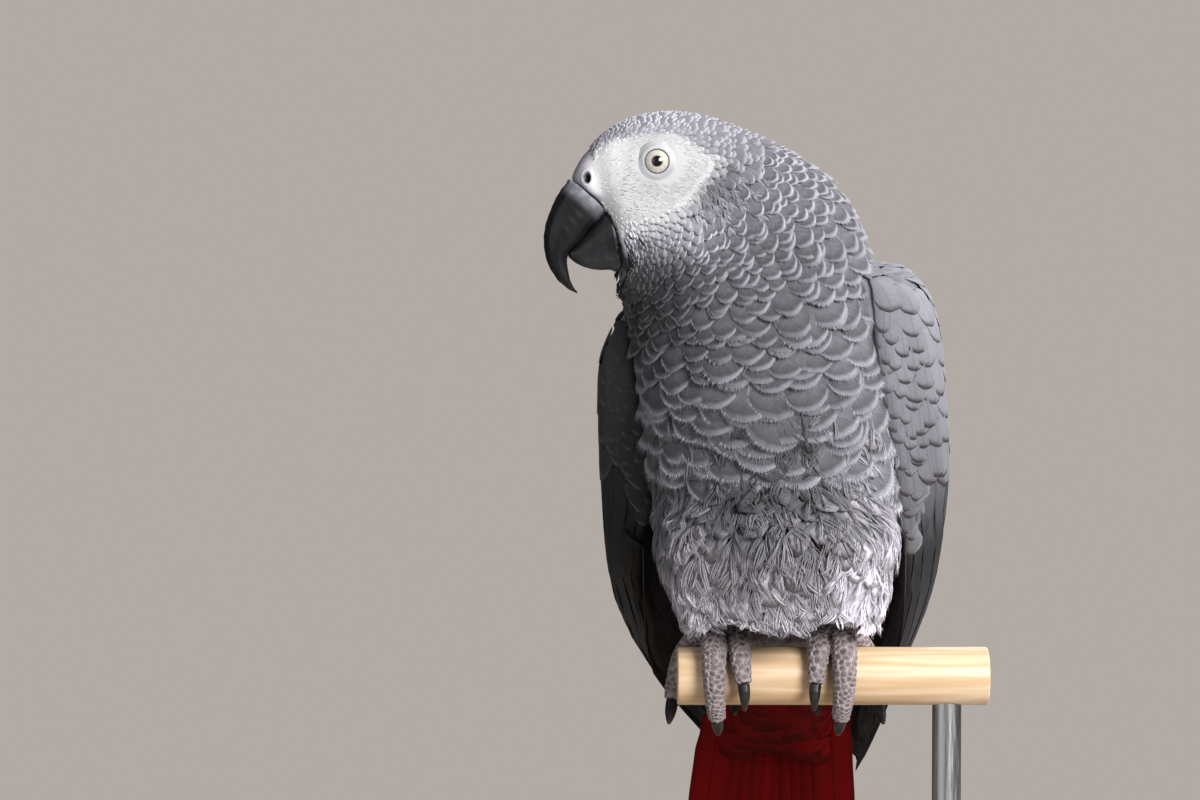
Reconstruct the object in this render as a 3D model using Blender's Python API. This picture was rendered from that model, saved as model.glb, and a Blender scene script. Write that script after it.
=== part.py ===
"""A grey parrot, life size, gripping a short dowel perch on a plain display stand.

Lengths in the tables are millimetres from the middle of the perch: X to the bird's left, Y backwards,
Z up. The bird faces -Y and looks over its right shoulder, towards -X.
"""

import math

import bmesh
import bpy
import numpy as np
from mathutils import Matrix, Vector

MM = 0.001
GAP = 0.35  # clearance between neighbouring solids

# Driving dimensions, in millimetres
PERCH_HEIGHT = 125.0  # perch axis above the floor
PERCH_SETBACK = 25.0  # perch axis in front of the stand's centre
PERCH_RADIUS = 10.0
PERCH_ENDS = (-35.3, 72.0)
PERCH_BEVEL = 0.5
BASE_RADIUS, BASE_THICKNESS = 95.0, 12.0
# The base's rounded edge, as how far each ring lies in from the rim and down from the top
BASE_EDGE = ((0.0, 3.0), (0.9, 0.9), (3.0, 0.0))
BASE_FOOT = 1.0  # bevel round the underside
ROD_X, ROD_RADIUS = 58.0, 5.0
ROD_TOP = -6.0  # above the perch's underside, which hollows the rod's end
EYE_RADIUS = 5.4
TAIL_FEATHERS = 12

# Sections of the body from bill base to tail tip. Each is a closed curve about a centre:
#   x, y, z      the centre
#   roll         how far the section's right-hand axis is turned up from +X, in degrees
#   pitch        how far its rearward axis is turned up from +Y, in degrees
#   yaw          turn about Z, in degrees, positive when the chest faces the bird's right
#   right, left  half-widths along the right-hand axis, towards and away from its +end
#   rear, front  half-depths along the rearward axis
STATION_NAMES = ("x", "y", "z", "roll", "pitch", "yaw", "right", "left", "rear", "front")
STATIONS = {
    "bill_base": (-64.2, -12.0, 169.1, 112.0, 0.0, -4.0, 10.6, 10.6, 8.4, 8.4),
    "forehead": (-60.0, -11.8, 171.2, 95.0, 0.0, -4.0, 16.2, 15.0, 12.8, 12.8),
    "brow": (-54.5, -11.4, 172.3, 79.0, 0.0, -4.0, 20.9, 19.6, 16.6, 16.6),
    "crown": (-45.4, -10.8, 171.2, 62.0, 0.0, -3.0, 26.4, 25.6, 19.2, 19.2),
    "occiput": (-36.0, -9.6, 166.4, 46.0, 0.0, -1.0, 31.4, 30.2, 20.8, 20.8),
    "nape": (-25.6, -7.6, 159.2, 31.0, 0.0, 2.0, 38.0, 35.8, 24.0, 23.5),
    "neck": (-17.3, -5.0, 151.3, 20.0, 0.0, 5.0, 42.6, 40.6, 27.5, 26.5),
    "lower_neck": (-13.6, -2.5, 142.5, 12.0, 2.0, 8.0, 44.2, 43.0, 31.0, 29.0),
    "collar": (-10.6, 0.5, 131.6, 7.5, 5.0, 10.0, 44.4, 43.6, 34.5, 32.0),
    "shoulders": (-7.8, 4.5, 115.6, 4.5, 9.0, 10.0, 44.0, 43.5, 37.5, 36.5),
    "breast": (-3.8, 10.5, 95.0, 2.0, 16.0, 8.0, 42.6, 42.6, 38.0, 42.5),
    "belly": (-0.6, 20.5, 67.0, 0.0, 24.0, 5.0, 43.8, 43.8, 37.0, 46.5),
    "hips": (0.4, 34.0, 40.5, 0.0, 30.0, 4.0, 43.6, 42.0, 33.0, 44.0),
    "vent": (1.6, 54.0, 15.0, 0.0, 32.0, 3.0, 33.0, 33.0, 22.5, 21.5),
    "tail_root": (2.4, 72.0, -8.5, 0.0, 33.0, 3.0, 25.0, 25.0, 13.5, 14.0),
    "tail_coverts": (3.2, 85.5, -28.8, 0.0, 33.0, 3.0, 26.0, 26.0, 7.0, 7.5),
    "tail_middle": (3.9, 104.5, -58.0, 0.0, 33.0, 3.0, 29.5, 29.5, 3.4, 3.4),
    "tail_tip": (4.6, 123.5, -87.5, 0.0, 33.0, 3.0, 31.0, 31.0, 1.6, 1.6),
}
SECTION_POWER = 2.15  # 2 is an ellipse, more is squarer
AROUND = 26  # sides of the body
ROUND = 24  # sides of the perch and stand
END_GAP = GAP * 0.8  # taken off each end of a stretch of the body
HEAD_GAP = GAP * 1.8  # clearance of the bill from the head
TOE_GAP = GAP * 1.4  # clearance of the body from the toes
PERCH_SPARE = 0.3  # clearance of the toes from the perch

# The wing wraps the body from shoulder to tip. Each row is at one station:
#   inner half-width and half-depth, greatest thickness, then three angles from straight out to the side,
#   in degrees, positive to the rear: leading edge, line between primaries and secondaries, trailing edge
WING_ROWS = {
    "left": {
        "lower_neck": (45.4, 34.0, 5.0, -14.0, 4.0, 24.0),
        "collar": (45.4, 36.0, 14.0, -18.0, 5.0, 38.0),
        "shoulders": (45.0, 38.6, 18.6, -18.0, 6.0, 58.0),
        "breast": (43.8, 39.2, 19.2, -16.0, 8.0, 74.0),
        "belly": (45.2, 38.0, 18.2, -13.0, 14.0, 84.0),
        "hips": (45.4, 34.2, 16.2, -10.0, 28.0, 86.0),
        "vent": (45.4, 27.0, 13.0, -6.0, 46.0, 84.0),
        "tail_root": (43.5, 20.0, 9.0, 0.0, 62.0, 80.0),
        "tail_coverts": (42.5, 15.5, 5.4, 8.0, 50.0, 50.0),
        "tail_middle": (37.0, 14.0, 1.6, 16.0, 24.0, 24.0),
    },
    "right": {
        "collar": (44.8, 36.0, 1.6, -8.0, 6.0, 30.0),
        "shoulders": (45.0, 38.6, 11.0, -14.0, 6.0, 56.0),
        "breast": (44.0, 39.2, 17.6, -15.0, 8.0, 74.0),
        "belly": (45.2, 38.0, 19.4, -13.0, 14.0, 84.0),
        "hips": (45.8, 34.2, 18.4, -10.0, 28.0, 86.0),
        "vent": (46.6, 27.0, 15.2, -6.0, 46.0, 84.0),
        "tail_root": (45.0, 20.0, 11.0, 4.0, 62.0, 80.0),
        "tail_coverts": (39.5, 16.0, 5.4, 16.0, 52.0, 52.0),
        "tail_middle": (34.0, 15.0, 1.6, 44.0, 54.0, 54.0),
    },
}
WING_TOPS = {"left": 2.5, "right": 0.0}  # how far a wing starts above the collar
WING_SPLIT = 52.0  # how far below the belly station the coverts end, in per cent of the way to the hips
WING_EDGE = 0.7  # thickness of a wing at its edges
WING_SEAM = 0.35  # half the angle left open between primaries and secondaries, in degrees
WING_SWELL = (0.6, 0.8)  # powers that put the thickest part nearer the leading edge and square it off

TAIL_ARCH = 3.0  # how much higher the middle of the tail lies than its sides
TAIL_ROUNDING = 0.07  # share of its length by which the outer tail feathers are shorter
TAIL_NOTCH = 0.022  # share of its length by which the tail is notched between feathers

# Outlines in the head's middle plane, as (x, z) pairs: the ridge, then the cutting edge or the chin
UPPER_BILL = (
    ((-72.6, 170.9), (-59.4, 159.2), 8.3),
    ((-76.0, 166.8), (-62.4, 156.9), 8.1),
    ((-79.0, 160.5), (-65.6, 153.7), 7.5),
    ((-80.9, 154.9), (-68.9, 149.3), 6.6),
    ((-81.3, 149.4), (-72.2, 146.6), 5.6),
    ((-80.7, 144.5), (-73.2, 144.2), 4.7),
    ((-79.0, 140.5), (-72.9, 141.2), 3.8),
    ((-76.9, 137.2), (-72.1, 137.4), 2.9),
    ((-74.2, 134.6), (-71.1, 134.8), 1.9),
    ((-69.6, 131.9), (-69.2, 132.3), 0.35),
)
LOWER_BILL = (
    ((-50.0, 165.0), (-52.5, 140.6), 7.6),
    ((-57.0, 162.4), (-58.4, 140.7), 7.8),
    ((-62.0, 158.0), (-63.0, 140.6), 7.2),
    ((-66.4, 152.6), (-67.6, 141.7), 6.2),
    ((-69.8, 148.4), (-70.6, 143.3), 5.0),
    ((-72.2, 146.2), (-72.5, 144.9), 3.6),
)
UPPER_PINCH, LOWER_PINCH, CERE_PINCH = 0.85, 0.75, 0.9  # under 1 makes a section squarer
CERE_WIDTH = 8.4  # half-width of the cere where it meets the head
CERE_BULGE = 0.5
CERE_LIFT = (1.2, 1.6)  # how far the cere's lower edge is raised at the head and at the bill
CERE_SLOPE = 42.0  # degrees between the upper bill's first section and the vertical
HEAD_MIDDLE = (-64.2, -12.0)  # a point of the head's middle plane, x and y
HEAD_TURN = 4.0  # degrees the bill is turned forward from straight out to the right
EYES = {"eye_left": (-42.9, -25.6, 176.5), "eye_right": (-42.2, 3.9, 176.5)}

# Feet, as if the foot's own middle were at x = 0: outward, back, up, and then the radius
FOOT_MIDDLES = {"left": 18.2, "right": -19.6}
ANKLE = ((0.0, 1.5, 10.8, 4.0), (0.0, 2.2, 12.8, 7.9), (0.0, 3.0, 15.8, 8.0),
         (0.0, 4.4, 19.6, 5.6), (0.0, 6.0, 25.0, 4.6))
TOES = {
    "toe_3": ((2.2, 2.6, 15.2, 4.0), (3.4, -5.5, 13.6, 4.3), (3.4, -12.6, 7.2, 4.0),
              (3.3, -14.4, -1.5, 3.6), (2.8, -12.8, -9.0, 3.1), (2.3, -10.4, -13.4, 2.7)),
    "toe_2": ((-3.2, 2.6, 15.2, 3.2), (-5.2, -5.0, 13.2, 3.7), (-5.6, -11.8, 6.8, 3.3),
              (-6.6, -13.9, -0.6, 2.6)),
    "toe_4": ((3.5, 5.0, 15.0, 3.9), (9.5, 9.8, 11.3, 3.8), (13.6, 13.2, 4.5, 3.5),
              (16.0, 13.9, -4.0, 3.1), (17.0, 12.3, -9.5, 2.7)),
    "toe_1": ((-2.5, 5.0, 15.0, 3.7), (-3.7, 11.5, 9.5, 3.5), (-4.5, 14.2, 1.0, 3.1),
              (-4.8, 13.4, -5.5, 2.6)),
}
CLAWS = {
    "toe_3": ((2.2, -9.9, -14.2, 2.1), (1.9, -8.0, -17.4, 1.5), (1.6, -5.4, -19.6, 0.4)),
    "toe_2": ((-6.7, -14.1, -1.3, 2.0), (-7.0, -15.2, -5.6, 1.6), (-7.0, -13.2, -10.4, 0.4)),
    "toe_4": ((17.1, 11.9, -10.1, 2.1), (17.9, 9.4, -14.6, 1.6), (18.4, 5.4, -17.2, 0.4)),
    "toe_1": ((-4.8, 13.2, -6.2, 2.0), (-4.8, 11.4, -11.2, 1.6), (-4.6, 7.2, -14.4, 0.4)),
}
# The feathered leg, from hip to ankle, laid out like the toes
THIGH = ((3.0, 26.0, 52.0, 19.0), (3.6, 18.0, 40.0, 19.5), (3.4, 11.0, 30.0, 18.0),
         (3.0, 7.6, 23.5, 14.0), (2.8, 6.8, 20.0, 11.0))

PLUMAGE_GREY = (0.28, 0.28, 0.31, 1.0)
PALE_GREY = (0.55, 0.55, 0.58, 1.0)
CHARCOAL = (0.03, 0.028, 0.03, 1.0)
TAIL_RED = (0.32, 0.01, 0.012, 1.0)
HORN_BLACK = (0.012, 0.012, 0.013, 1.0)
SKIN_WHITE = (0.74, 0.73, 0.74, 1.0)
SCALE_GREY = (0.42, 0.37, 0.37, 1.0)
IRIS_CREAM = (0.72, 0.66, 0.52, 1.0)
PINE = (0.80, 0.60, 0.38, 1.0)
STEEL = (0.55, 0.55, 0.56, 1.0)
STAND_WOOD = (0.62, 0.44, 0.27, 1.0)


def clear_scene():
    for obj in list(bpy.data.objects):
        bpy.data.objects.remove(obj)


def material(name, color, roughness, metallic=0.0):
    made = bpy.data.materials.new(name)
    made.use_nodes = True
    shader = made.node_tree.nodes["Principled BSDF"]
    shader.inputs["Base Color"].default_value = color
    shader.inputs["Roughness"].default_value = roughness
    shader.inputs["Metallic"].default_value = metallic
    return made


def hermite(knots, values, at):
    """A smooth curve through values at knots, read at the places in `at`."""
    knots, values = np.asarray(knots, float), np.asarray(values, float)
    slopes = np.gradient(values, knots, axis=0)
    at = np.clip(np.asarray(at, float), knots[0], knots[-1])
    i = np.clip(np.searchsorted(knots, at, side="right") - 1, 0, len(knots) - 2)
    width = knots[i + 1] - knots[i]
    t = (at - knots[i]) / width
    if values.ndim == 2:
        t, width = t[..., None], width[..., None]
    return (
        (2 * t**3 - 3 * t**2 + 1) * values[i]
        + (t**3 - 2 * t**2 + t) * width * slopes[i]
        + (3 * t**2 - 2 * t**3) * values[i + 1]
        + (t**3 - t**2) * width * slopes[i + 1]
    )


STATION_TABLE = np.array(list(STATIONS.values()))
STATION_AT = np.concatenate(
    [[0.0], np.cumsum(np.linalg.norm(np.diff(STATION_TABLE[:, :3], axis=0), axis=1))]
)
STATION_PLACE = dict(zip(STATIONS, STATION_AT))


def body_at(along):
    """The section values at distances along the spine, as a dict of arrays."""
    rows = hermite(STATION_AT, STATION_TABLE, np.atleast_1d(along))
    return dict(zip(STATION_NAMES, rows.T))


def section_axes(section):
    """The right-hand and rearward unit axes of each section."""
    roll, pitch, yaw = (np.radians(section[k]) for k in ("roll", "pitch", "yaw"))
    right = np.stack([np.cos(roll) * np.cos(yaw), -np.cos(roll) * np.sin(yaw), np.sin(roll)], -1)
    rear = np.stack([np.sin(yaw) * np.cos(pitch), np.cos(yaw) * np.cos(pitch), np.sin(pitch)], -1)
    return right, rear


def superellipse(angles, plus_x, minus_x, plus_y, minus_y, power=SECTION_POWER):
    """Distance from the centre to a rounded outline with a half-axis of its own on each side."""
    c, s = np.cos(angles), np.sin(angles)
    across = np.where(c > 0, plus_x, minus_x)
    deep = np.where(s > 0, plus_y, minus_y)
    return (np.abs(c / across) ** power + np.abs(s / deep) ** power) ** (-1 / power)


def body_rings(along, grow=0.0, count=AROUND):
    """Rings of points of the body's outer form at distances along the spine, in millimetres."""
    section = body_at(along)
    right, rear = section_axes(section)
    centre = np.stack([section[k] for k in "xyz"], -1)
    angles = np.arange(count) * 2 * math.pi / count
    radius = grow + superellipse(
        angles[None, :], *(section[k][:, None] for k in ("right", "left", "rear", "front"))
    )
    flat = radius[..., None] * (
        np.cos(angles)[None, :, None] * right[:, None, :] + np.sin(angles)[None, :, None] * rear[:, None, :]
    )
    return centre[:, None, :] + flat


def to_world(points):
    """Points about the perch, in millimetres, as metres about the middle of the stand's underside."""
    shifted = np.asarray(points, float) + (0.0, -PERCH_SETBACK, PERCH_HEIGHT)
    return shifted * MM


def make_object(name, mesh, look, smooth_angle=40.0):
    obj = bpy.data.objects.new(name, mesh)
    bpy.context.scene.collection.objects.link(obj)
    mesh.materials.append(look)
    mesh.shade_smooth()
    mesh.set_sharp_from_angle(angle=math.radians(smooth_angle))
    return obj


def loft(name, rings, look, smooth_angle=40.0):
    """A closed solid through rings of points, in millimetres, with a flat or pointed cap at each end."""
    rings = to_world(rings)
    count = rings.shape[1]
    made = bmesh.new()
    rows = [[made.verts.new(p) for p in ring] for ring in rings]
    for low, high in zip(rows, rows[1:]):
        for i in range(count):
            j = (i + 1) % count
            made.faces.new((low[i], low[j], high[j], high[i]))
    for row in (rows[0], rows[-1]):
        middle = made.verts.new(sum((v.co for v in row), Vector()) / count)
        for i in range(count):
            made.faces.new((row[i], row[(i + 1) % count], middle))
    bmesh.ops.recalc_face_normals(made, faces=made.faces)
    mesh = bpy.data.meshes.new(name)
    made.to_mesh(mesh)
    made.free()
    return make_object(name, mesh, look, smooth_angle)


def shell(name, inner, outer, look):
    """A closed curved plate between two grids of points, in millimetres, of the same shape."""
    inner, outer = to_world(inner), to_world(outer)
    rows, columns = inner.shape[:2]
    made = bmesh.new()
    grids = [[[made.verts.new(p) for p in line] for line in grid] for grid in (inner, outer)]
    for low in grids:
        for i in range(rows - 1):
            for j in range(columns - 1):
                made.faces.new((low[i][j], low[i][j + 1], low[i + 1][j + 1], low[i + 1][j]))
    rim = [(0, j) for j in range(columns)] + [(i, columns - 1) for i in range(1, rows)]
    rim += [(rows - 1, j) for j in range(columns - 2, -1, -1)] + [(i, 0) for i in range(rows - 2, 0, -1)]
    for here, there in zip(rim, rim[1:] + rim[:1]):
        (i, j), (k, m) = sorted((here, there))
        made.faces.new((grids[0][i][j], grids[0][k][m], grids[1][k][m]))
        made.faces.new((grids[0][i][j], grids[1][k][m], grids[1][i][j]))
    bmesh.ops.recalc_face_normals(made, faces=made.faces)
    mesh = bpy.data.meshes.new(name)
    made.to_mesh(mesh)
    made.free()
    return make_object(name, mesh, look)


def cut(obj, cutter):
    """Takes cutter away from obj, and keeps cutter as a hidden guide."""
    cutter.hide_render = True
    cutter.display_type = "WIRE"
    boolean = obj.modifiers.new("cut_" + cutter.name, "BOOLEAN")
    boolean.operation = "DIFFERENCE"
    boolean.object = cutter


def ellipsoid(name, centre, radii, look, segments=16, rings=10):
    made = bmesh.new()
    bmesh.ops.create_uvsphere(made, u_segments=segments, v_segments=rings, radius=1.0)
    place = Matrix.Translation(Vector(to_world(centre))) @ Matrix.Diagonal((*(r * MM for r in radii), 1.0))
    bmesh.ops.transform(made, matrix=place, verts=made.verts)
    mesh = bpy.data.meshes.new(name)
    made.to_mesh(mesh)
    made.free()
    return make_object(name, mesh, look)


def clear_of_perch(path):
    """The same (x, y, z, radius) path pushed out, where needed, to lie on the perch."""
    path = np.array(path, float)
    reach = np.hypot(path[:, 1], path[:, 2])
    scale = np.maximum(1.0, (PERCH_RADIUS + path[:, 3] + PERCH_SPARE) / reach)
    path[:, 1:3] *= scale[:, None]
    return path


def limb(name, table, side, look, sides=8, steps=8, grow=0.0, on_perch=True):
    """A round tapering limb through a table of (outward, back, up, radius) rows."""
    rows = np.array(table, float)
    middle = FOOT_MIDDLES[side]
    rows[:, 0] = middle + math.copysign(1.0, middle) * rows[:, 0]
    knots = np.concatenate([[0.0], np.cumsum(np.linalg.norm(np.diff(rows[:, :3], axis=0), axis=1))])
    at = np.linspace(0, knots[-1], steps)
    rows = hermite(knots, rows, at)
    if on_perch:
        rows = clear_of_perch(rows)
    line, size = rows[:, :3], rows[:, 3] + grow
    ahead = np.gradient(line, axis=0)
    ahead /= np.linalg.norm(ahead, axis=1)[:, None]
    up = np.cross(ahead, (1.0, 0.0, 0.0))
    up /= np.linalg.norm(up, axis=1)[:, None]
    across = np.cross(up, ahead)
    angles = np.arange(sides) * 2 * math.pi / sides
    c, s = np.cos(angles)[None, :, None], np.sin(angles)[None, :, None]
    ring = c * across[:, None, :] + s * up[:, None, :]
    if grow:
        line[0] -= ahead[0] * grow
        line[-1] += ahead[-1] * grow
    return loft(name, line[:, None, :] + size[:, None, None] * ring, look)


def spine(first, last, step=7.5):
    """Distances along the spine from one station to another, about a step apart."""
    first, last = STATION_PLACE[first], STATION_PLACE[last]
    return np.linspace(first, last, max(3, round((last - first) / step) + 1))


def body_part(name, first, last, look, trim=(1, 1), step=8.0):
    """The stretch of the body between two stations, with half a gap taken off each end."""
    along = spine(first, last, step)
    along[0] += trim[0] * END_GAP
    along[-1] -= trim[1] * END_GAP
    return loft(name, body_rings(along), look)


def head_frame(pairs, half_width, pinch, count=16):
    """A ring around the head's middle plane, from a ridge point to an edge point."""
    ridge, edge = (np.array(p) for p in pairs)
    middle = (ridge + edge) / 2
    half = (ridge - edge) / 2
    angles = np.arange(count) * 2 * math.pi / count
    c, s = np.cos(angles), np.sin(angles)
    width = half_width * np.abs(s) ** pinch * np.sign(s)
    x = middle[0] + half[0] * c
    z = middle[1] + half[1] * c
    turn = math.radians(HEAD_TURN)
    ahead = x - HEAD_MIDDLE[0]
    return np.stack(
        [HEAD_MIDDLE[0] + ahead * math.cos(turn) - width * math.sin(turn),
         HEAD_MIDDLE[1] + ahead * math.sin(turn) + width * math.cos(turn), z], -1
    )


def resample(table, steps):
    """A bill table read smoothly at more places along its length."""
    flat = np.array([(*ridge, *edge, width) for ridge, edge, width in table])
    knots = np.concatenate([[0.0], np.cumsum(np.linalg.norm(np.diff(flat[:, :2], axis=0), axis=1))])
    return [
        ((row[:2], row[2:4]), row[4]) for row in hermite(knots, flat, np.linspace(0, knots[-1], steps))
    ]


def make_upper_bill(horn):
    rows = resample(UPPER_BILL, 12)
    return loft("upper_bill", [head_frame(pair, width, UPPER_PINCH) for pair, width in rows], horn, 50)


def make_lower_bill(horn):
    rows = resample(LOWER_BILL, 8)
    return loft("lower_bill", [head_frame(pair, width, LOWER_PINCH) for pair, width in rows], horn, 50)


def make_cere(look):
    """Fills the wedge between the forehead and the upper bill."""
    section = body_at(STATION_PLACE["bill_base"])
    right = section_axes(section)[0][0]
    middle = np.array([section["x"][0], section["z"][0]])
    off_head = np.array([-right[2], right[0]]) * (GAP * 1.3)
    rise = np.array([right[0], right[2]])
    head_ridge = middle + rise * section["right"][0] + off_head
    head_edge = middle - rise * (section["left"][0] - CERE_LIFT[0]) + off_head
    (ridge, edge), bill_width = resample(UPPER_BILL, 12)[0]
    slope = math.radians(CERE_SLOPE)
    off_bill = np.array([math.cos(slope), math.sin(slope)]) * (GAP * 1.2)
    bill_ridge = ridge + off_bill
    bill_edge = edge + off_bill + (0.0, CERE_LIFT[1])
    rings = []
    for share, bulge in ((0.0, 0.0), (0.33, CERE_BULGE), (0.67, CERE_BULGE), (1.0, 0.0)):
        pair = ((1 - share) * head_ridge + share * bill_ridge, (1 - share) * head_edge + share * bill_edge)
        width = CERE_WIDTH + (bill_width - CERE_WIDTH) * share + bulge
        rings.append(head_frame(pair, width, CERE_PINCH))
    return loft("cere", rings, look, 50)


def wing_part(name, side, at, edges, columns, look):
    """A curved plate over part of the wing. edges names the two table columns its angles run between."""
    table = WING_ROWS[side]
    rows = hermite([STATION_PLACE[n] for n in table], np.array(list(table.values())), at)
    section = body_at(at)
    right, rear = section_axes(section)
    centre = np.stack([section[k] for k in "xyz"], -1)
    width, depth, thick, lead, split, trail = rows.T
    split = np.minimum(split, trail)
    low = {"lead": lead, "split": split + WING_SEAM}[edges[0]]
    high = {"split": split - WING_SEAM, "trail": trail}[edges[1]]
    share = np.linspace(0, 1, columns)
    degrees = low[:, None] + (high - low)[:, None] * share[None, :]
    u = np.clip((degrees - lead[:, None]) / np.maximum(trail - lead, 1.0)[:, None], 0, 1)
    early, square = WING_SWELL
    swell = np.abs(np.sin(math.pi * u**early)) ** square
    body = WING_EDGE + np.maximum(thick - WING_EDGE, 0)[:, None] * swell
    angles = np.radians(degrees)
    inner = superellipse(angles, width[:, None], width[:, None], depth[:, None], depth[:, None])
    c = np.cos(angles) * (1.0 if side == "left" else -1.0)
    rays = c[..., None] * right[:, None, :] + np.sin(angles)[..., None] * rear[:, None, :]
    grids = [centre[:, None, :] + r[..., None] * rays for r in (inner, inner + body)]
    return shell(name, *grids, look)


def make_wing(side, looks):
    belly, hips = STATION_PLACE["belly"], STATION_PLACE["hips"]
    top = STATION_PLACE["collar"] - WING_TOPS[side]
    split = belly + (hips - belly) * WING_SPLIT / 100
    root, tip = STATION_PLACE["tail_root"], STATION_PLACE["tail_middle"]
    grey, dark = looks["grey"], looks["charcoal"]
    upper = np.linspace(top, split, 11)
    middle = np.linspace(split + GAP, root, 8)
    lower = np.linspace(root, tip, 6)[1:]
    wing_part(f"wing_{side}_coverts", side, upper, ("lead", "trail"), 10, grey)
    wing_part(f"wing_{side}_secondaries", side, middle, ("split", "trail"), 7, grey)
    wing_part(f"wing_{side}_primaries", side, np.concatenate([middle, lower]), ("lead", "split"), 7, dark)


def make_tail(looks):
    """A slightly arched fan of overlapping feathers, each with a rounded end."""
    columns = TAIL_FEATHERS * 2 + 1
    start = STATION_PLACE["tail_coverts"] + GAP
    end = STATION_PLACE["tail_tip"]
    share = np.linspace(-1, 1, columns)
    tips = 1.0 - TAIL_ROUNDING * share**2 - TAIL_NOTCH * (np.arange(columns) % 2 == 0)
    rows = 5
    length = np.linspace(0, 1, rows)[:, None] * tips[None, :] * (end - start) + start
    section = body_at(length.ravel())
    right, rear = section_axes(section)
    centre = np.stack([section[k] for k in "xyz"], -1).reshape(rows, columns, 3)
    width = section["right"].reshape(rows, columns)
    half = section["rear"].reshape(rows, columns)
    arch = (0.5 - share[None, :] ** 2) * TAIL_ARCH
    thin = np.sqrt(np.maximum(1 - np.abs(share[None, :]) ** 3, 0.12))
    out = (width * share[None, :])[..., None] * right.reshape(rows, columns, 3)
    rear = rear.reshape(rows, columns, 3)
    under = centre + out + (arch - half * thin)[..., None] * rear
    over = centre + out + (arch + half * thin)[..., None] * rear
    return shell("tail", under, over, looks["red"])


def make_leg(side, looks, body_cutter):
    scales, claw = looks["scales"], looks["claw"]
    limb(f"tarsus_{side}", ANKLE, side, scales, sides=12, steps=7, on_perch=False)
    pad_cutter = limb(f"guide_pad_{side}", ANKLE, side, scales, 12, 7, grow=GAP, on_perch=False)
    for toe, table in TOES.items():
        made = limb(f"{toe}_{side}", table, side, scales)
        cut(made, pad_cutter)
        limb(f"claw_{toe[-1]}_{side}", CLAWS[toe], side, claw, sides=6, steps=5)
    toe_cutters = [
        limb(f"guide_{toe}_{side}", TOES[toe], side, scales, 8, 8, grow=TOE_GAP) for toe in TOES
    ]
    thigh = limb(f"thigh_{side}", THIGH, side, looks["grey"], sides=13, steps=7, on_perch=False)
    cut(thigh, body_cutter)
    cut(thigh, pad_cutter)
    cut(thigh, toe_cutters[0])
    return [pad_cutter, *toe_cutters]


def make_stand(looks):
    wood = looks["pine"]
    angles = np.arange(ROUND) * 2 * math.pi / ROUND

    def ring_x(x, radius):
        return np.stack([np.full(ROUND, x), radius * np.cos(angles), radius * np.sin(angles)], -1)

    def ring_z(z, radius, middle):
        return np.stack([middle[0] + radius * np.cos(angles), middle[1] + radius * np.sin(angles),
                         np.full(ROUND, z)], -1)

    near, far = PERCH_ENDS
    narrow = PERCH_RADIUS - PERCH_BEVEL
    loft("perch", [ring_x(near, narrow), ring_x(near + PERCH_BEVEL, PERCH_RADIUS),
                   ring_x(far - PERCH_BEVEL, PERCH_RADIUS), ring_x(far, narrow)], wood, 30)
    socket = loft("guide_perch", [ring_x(near, PERCH_RADIUS + GAP), ring_x(far, PERCH_RADIUS + GAP)], wood)
    floor, top = -PERCH_HEIGHT, -PERCH_HEIGHT + BASE_THICKNESS
    middle = (0.0, PERCH_SETBACK)
    foot = [ring_z(floor, BASE_RADIUS - BASE_FOOT, middle), ring_z(floor + BASE_FOOT, BASE_RADIUS, middle)]
    edge = [ring_z(top - down, BASE_RADIUS - inward, middle) for inward, down in BASE_EDGE]
    loft("stand_base", foot + edge, looks["stand"], 30)
    rod_rings = [ring_z(z, ROD_RADIUS, (ROD_X, 0.0)) for z in (top + GAP, ROD_TOP)]
    rod = loft("stand_rod", rod_rings, looks["steel"], 30)
    cut(rod, socket)


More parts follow.
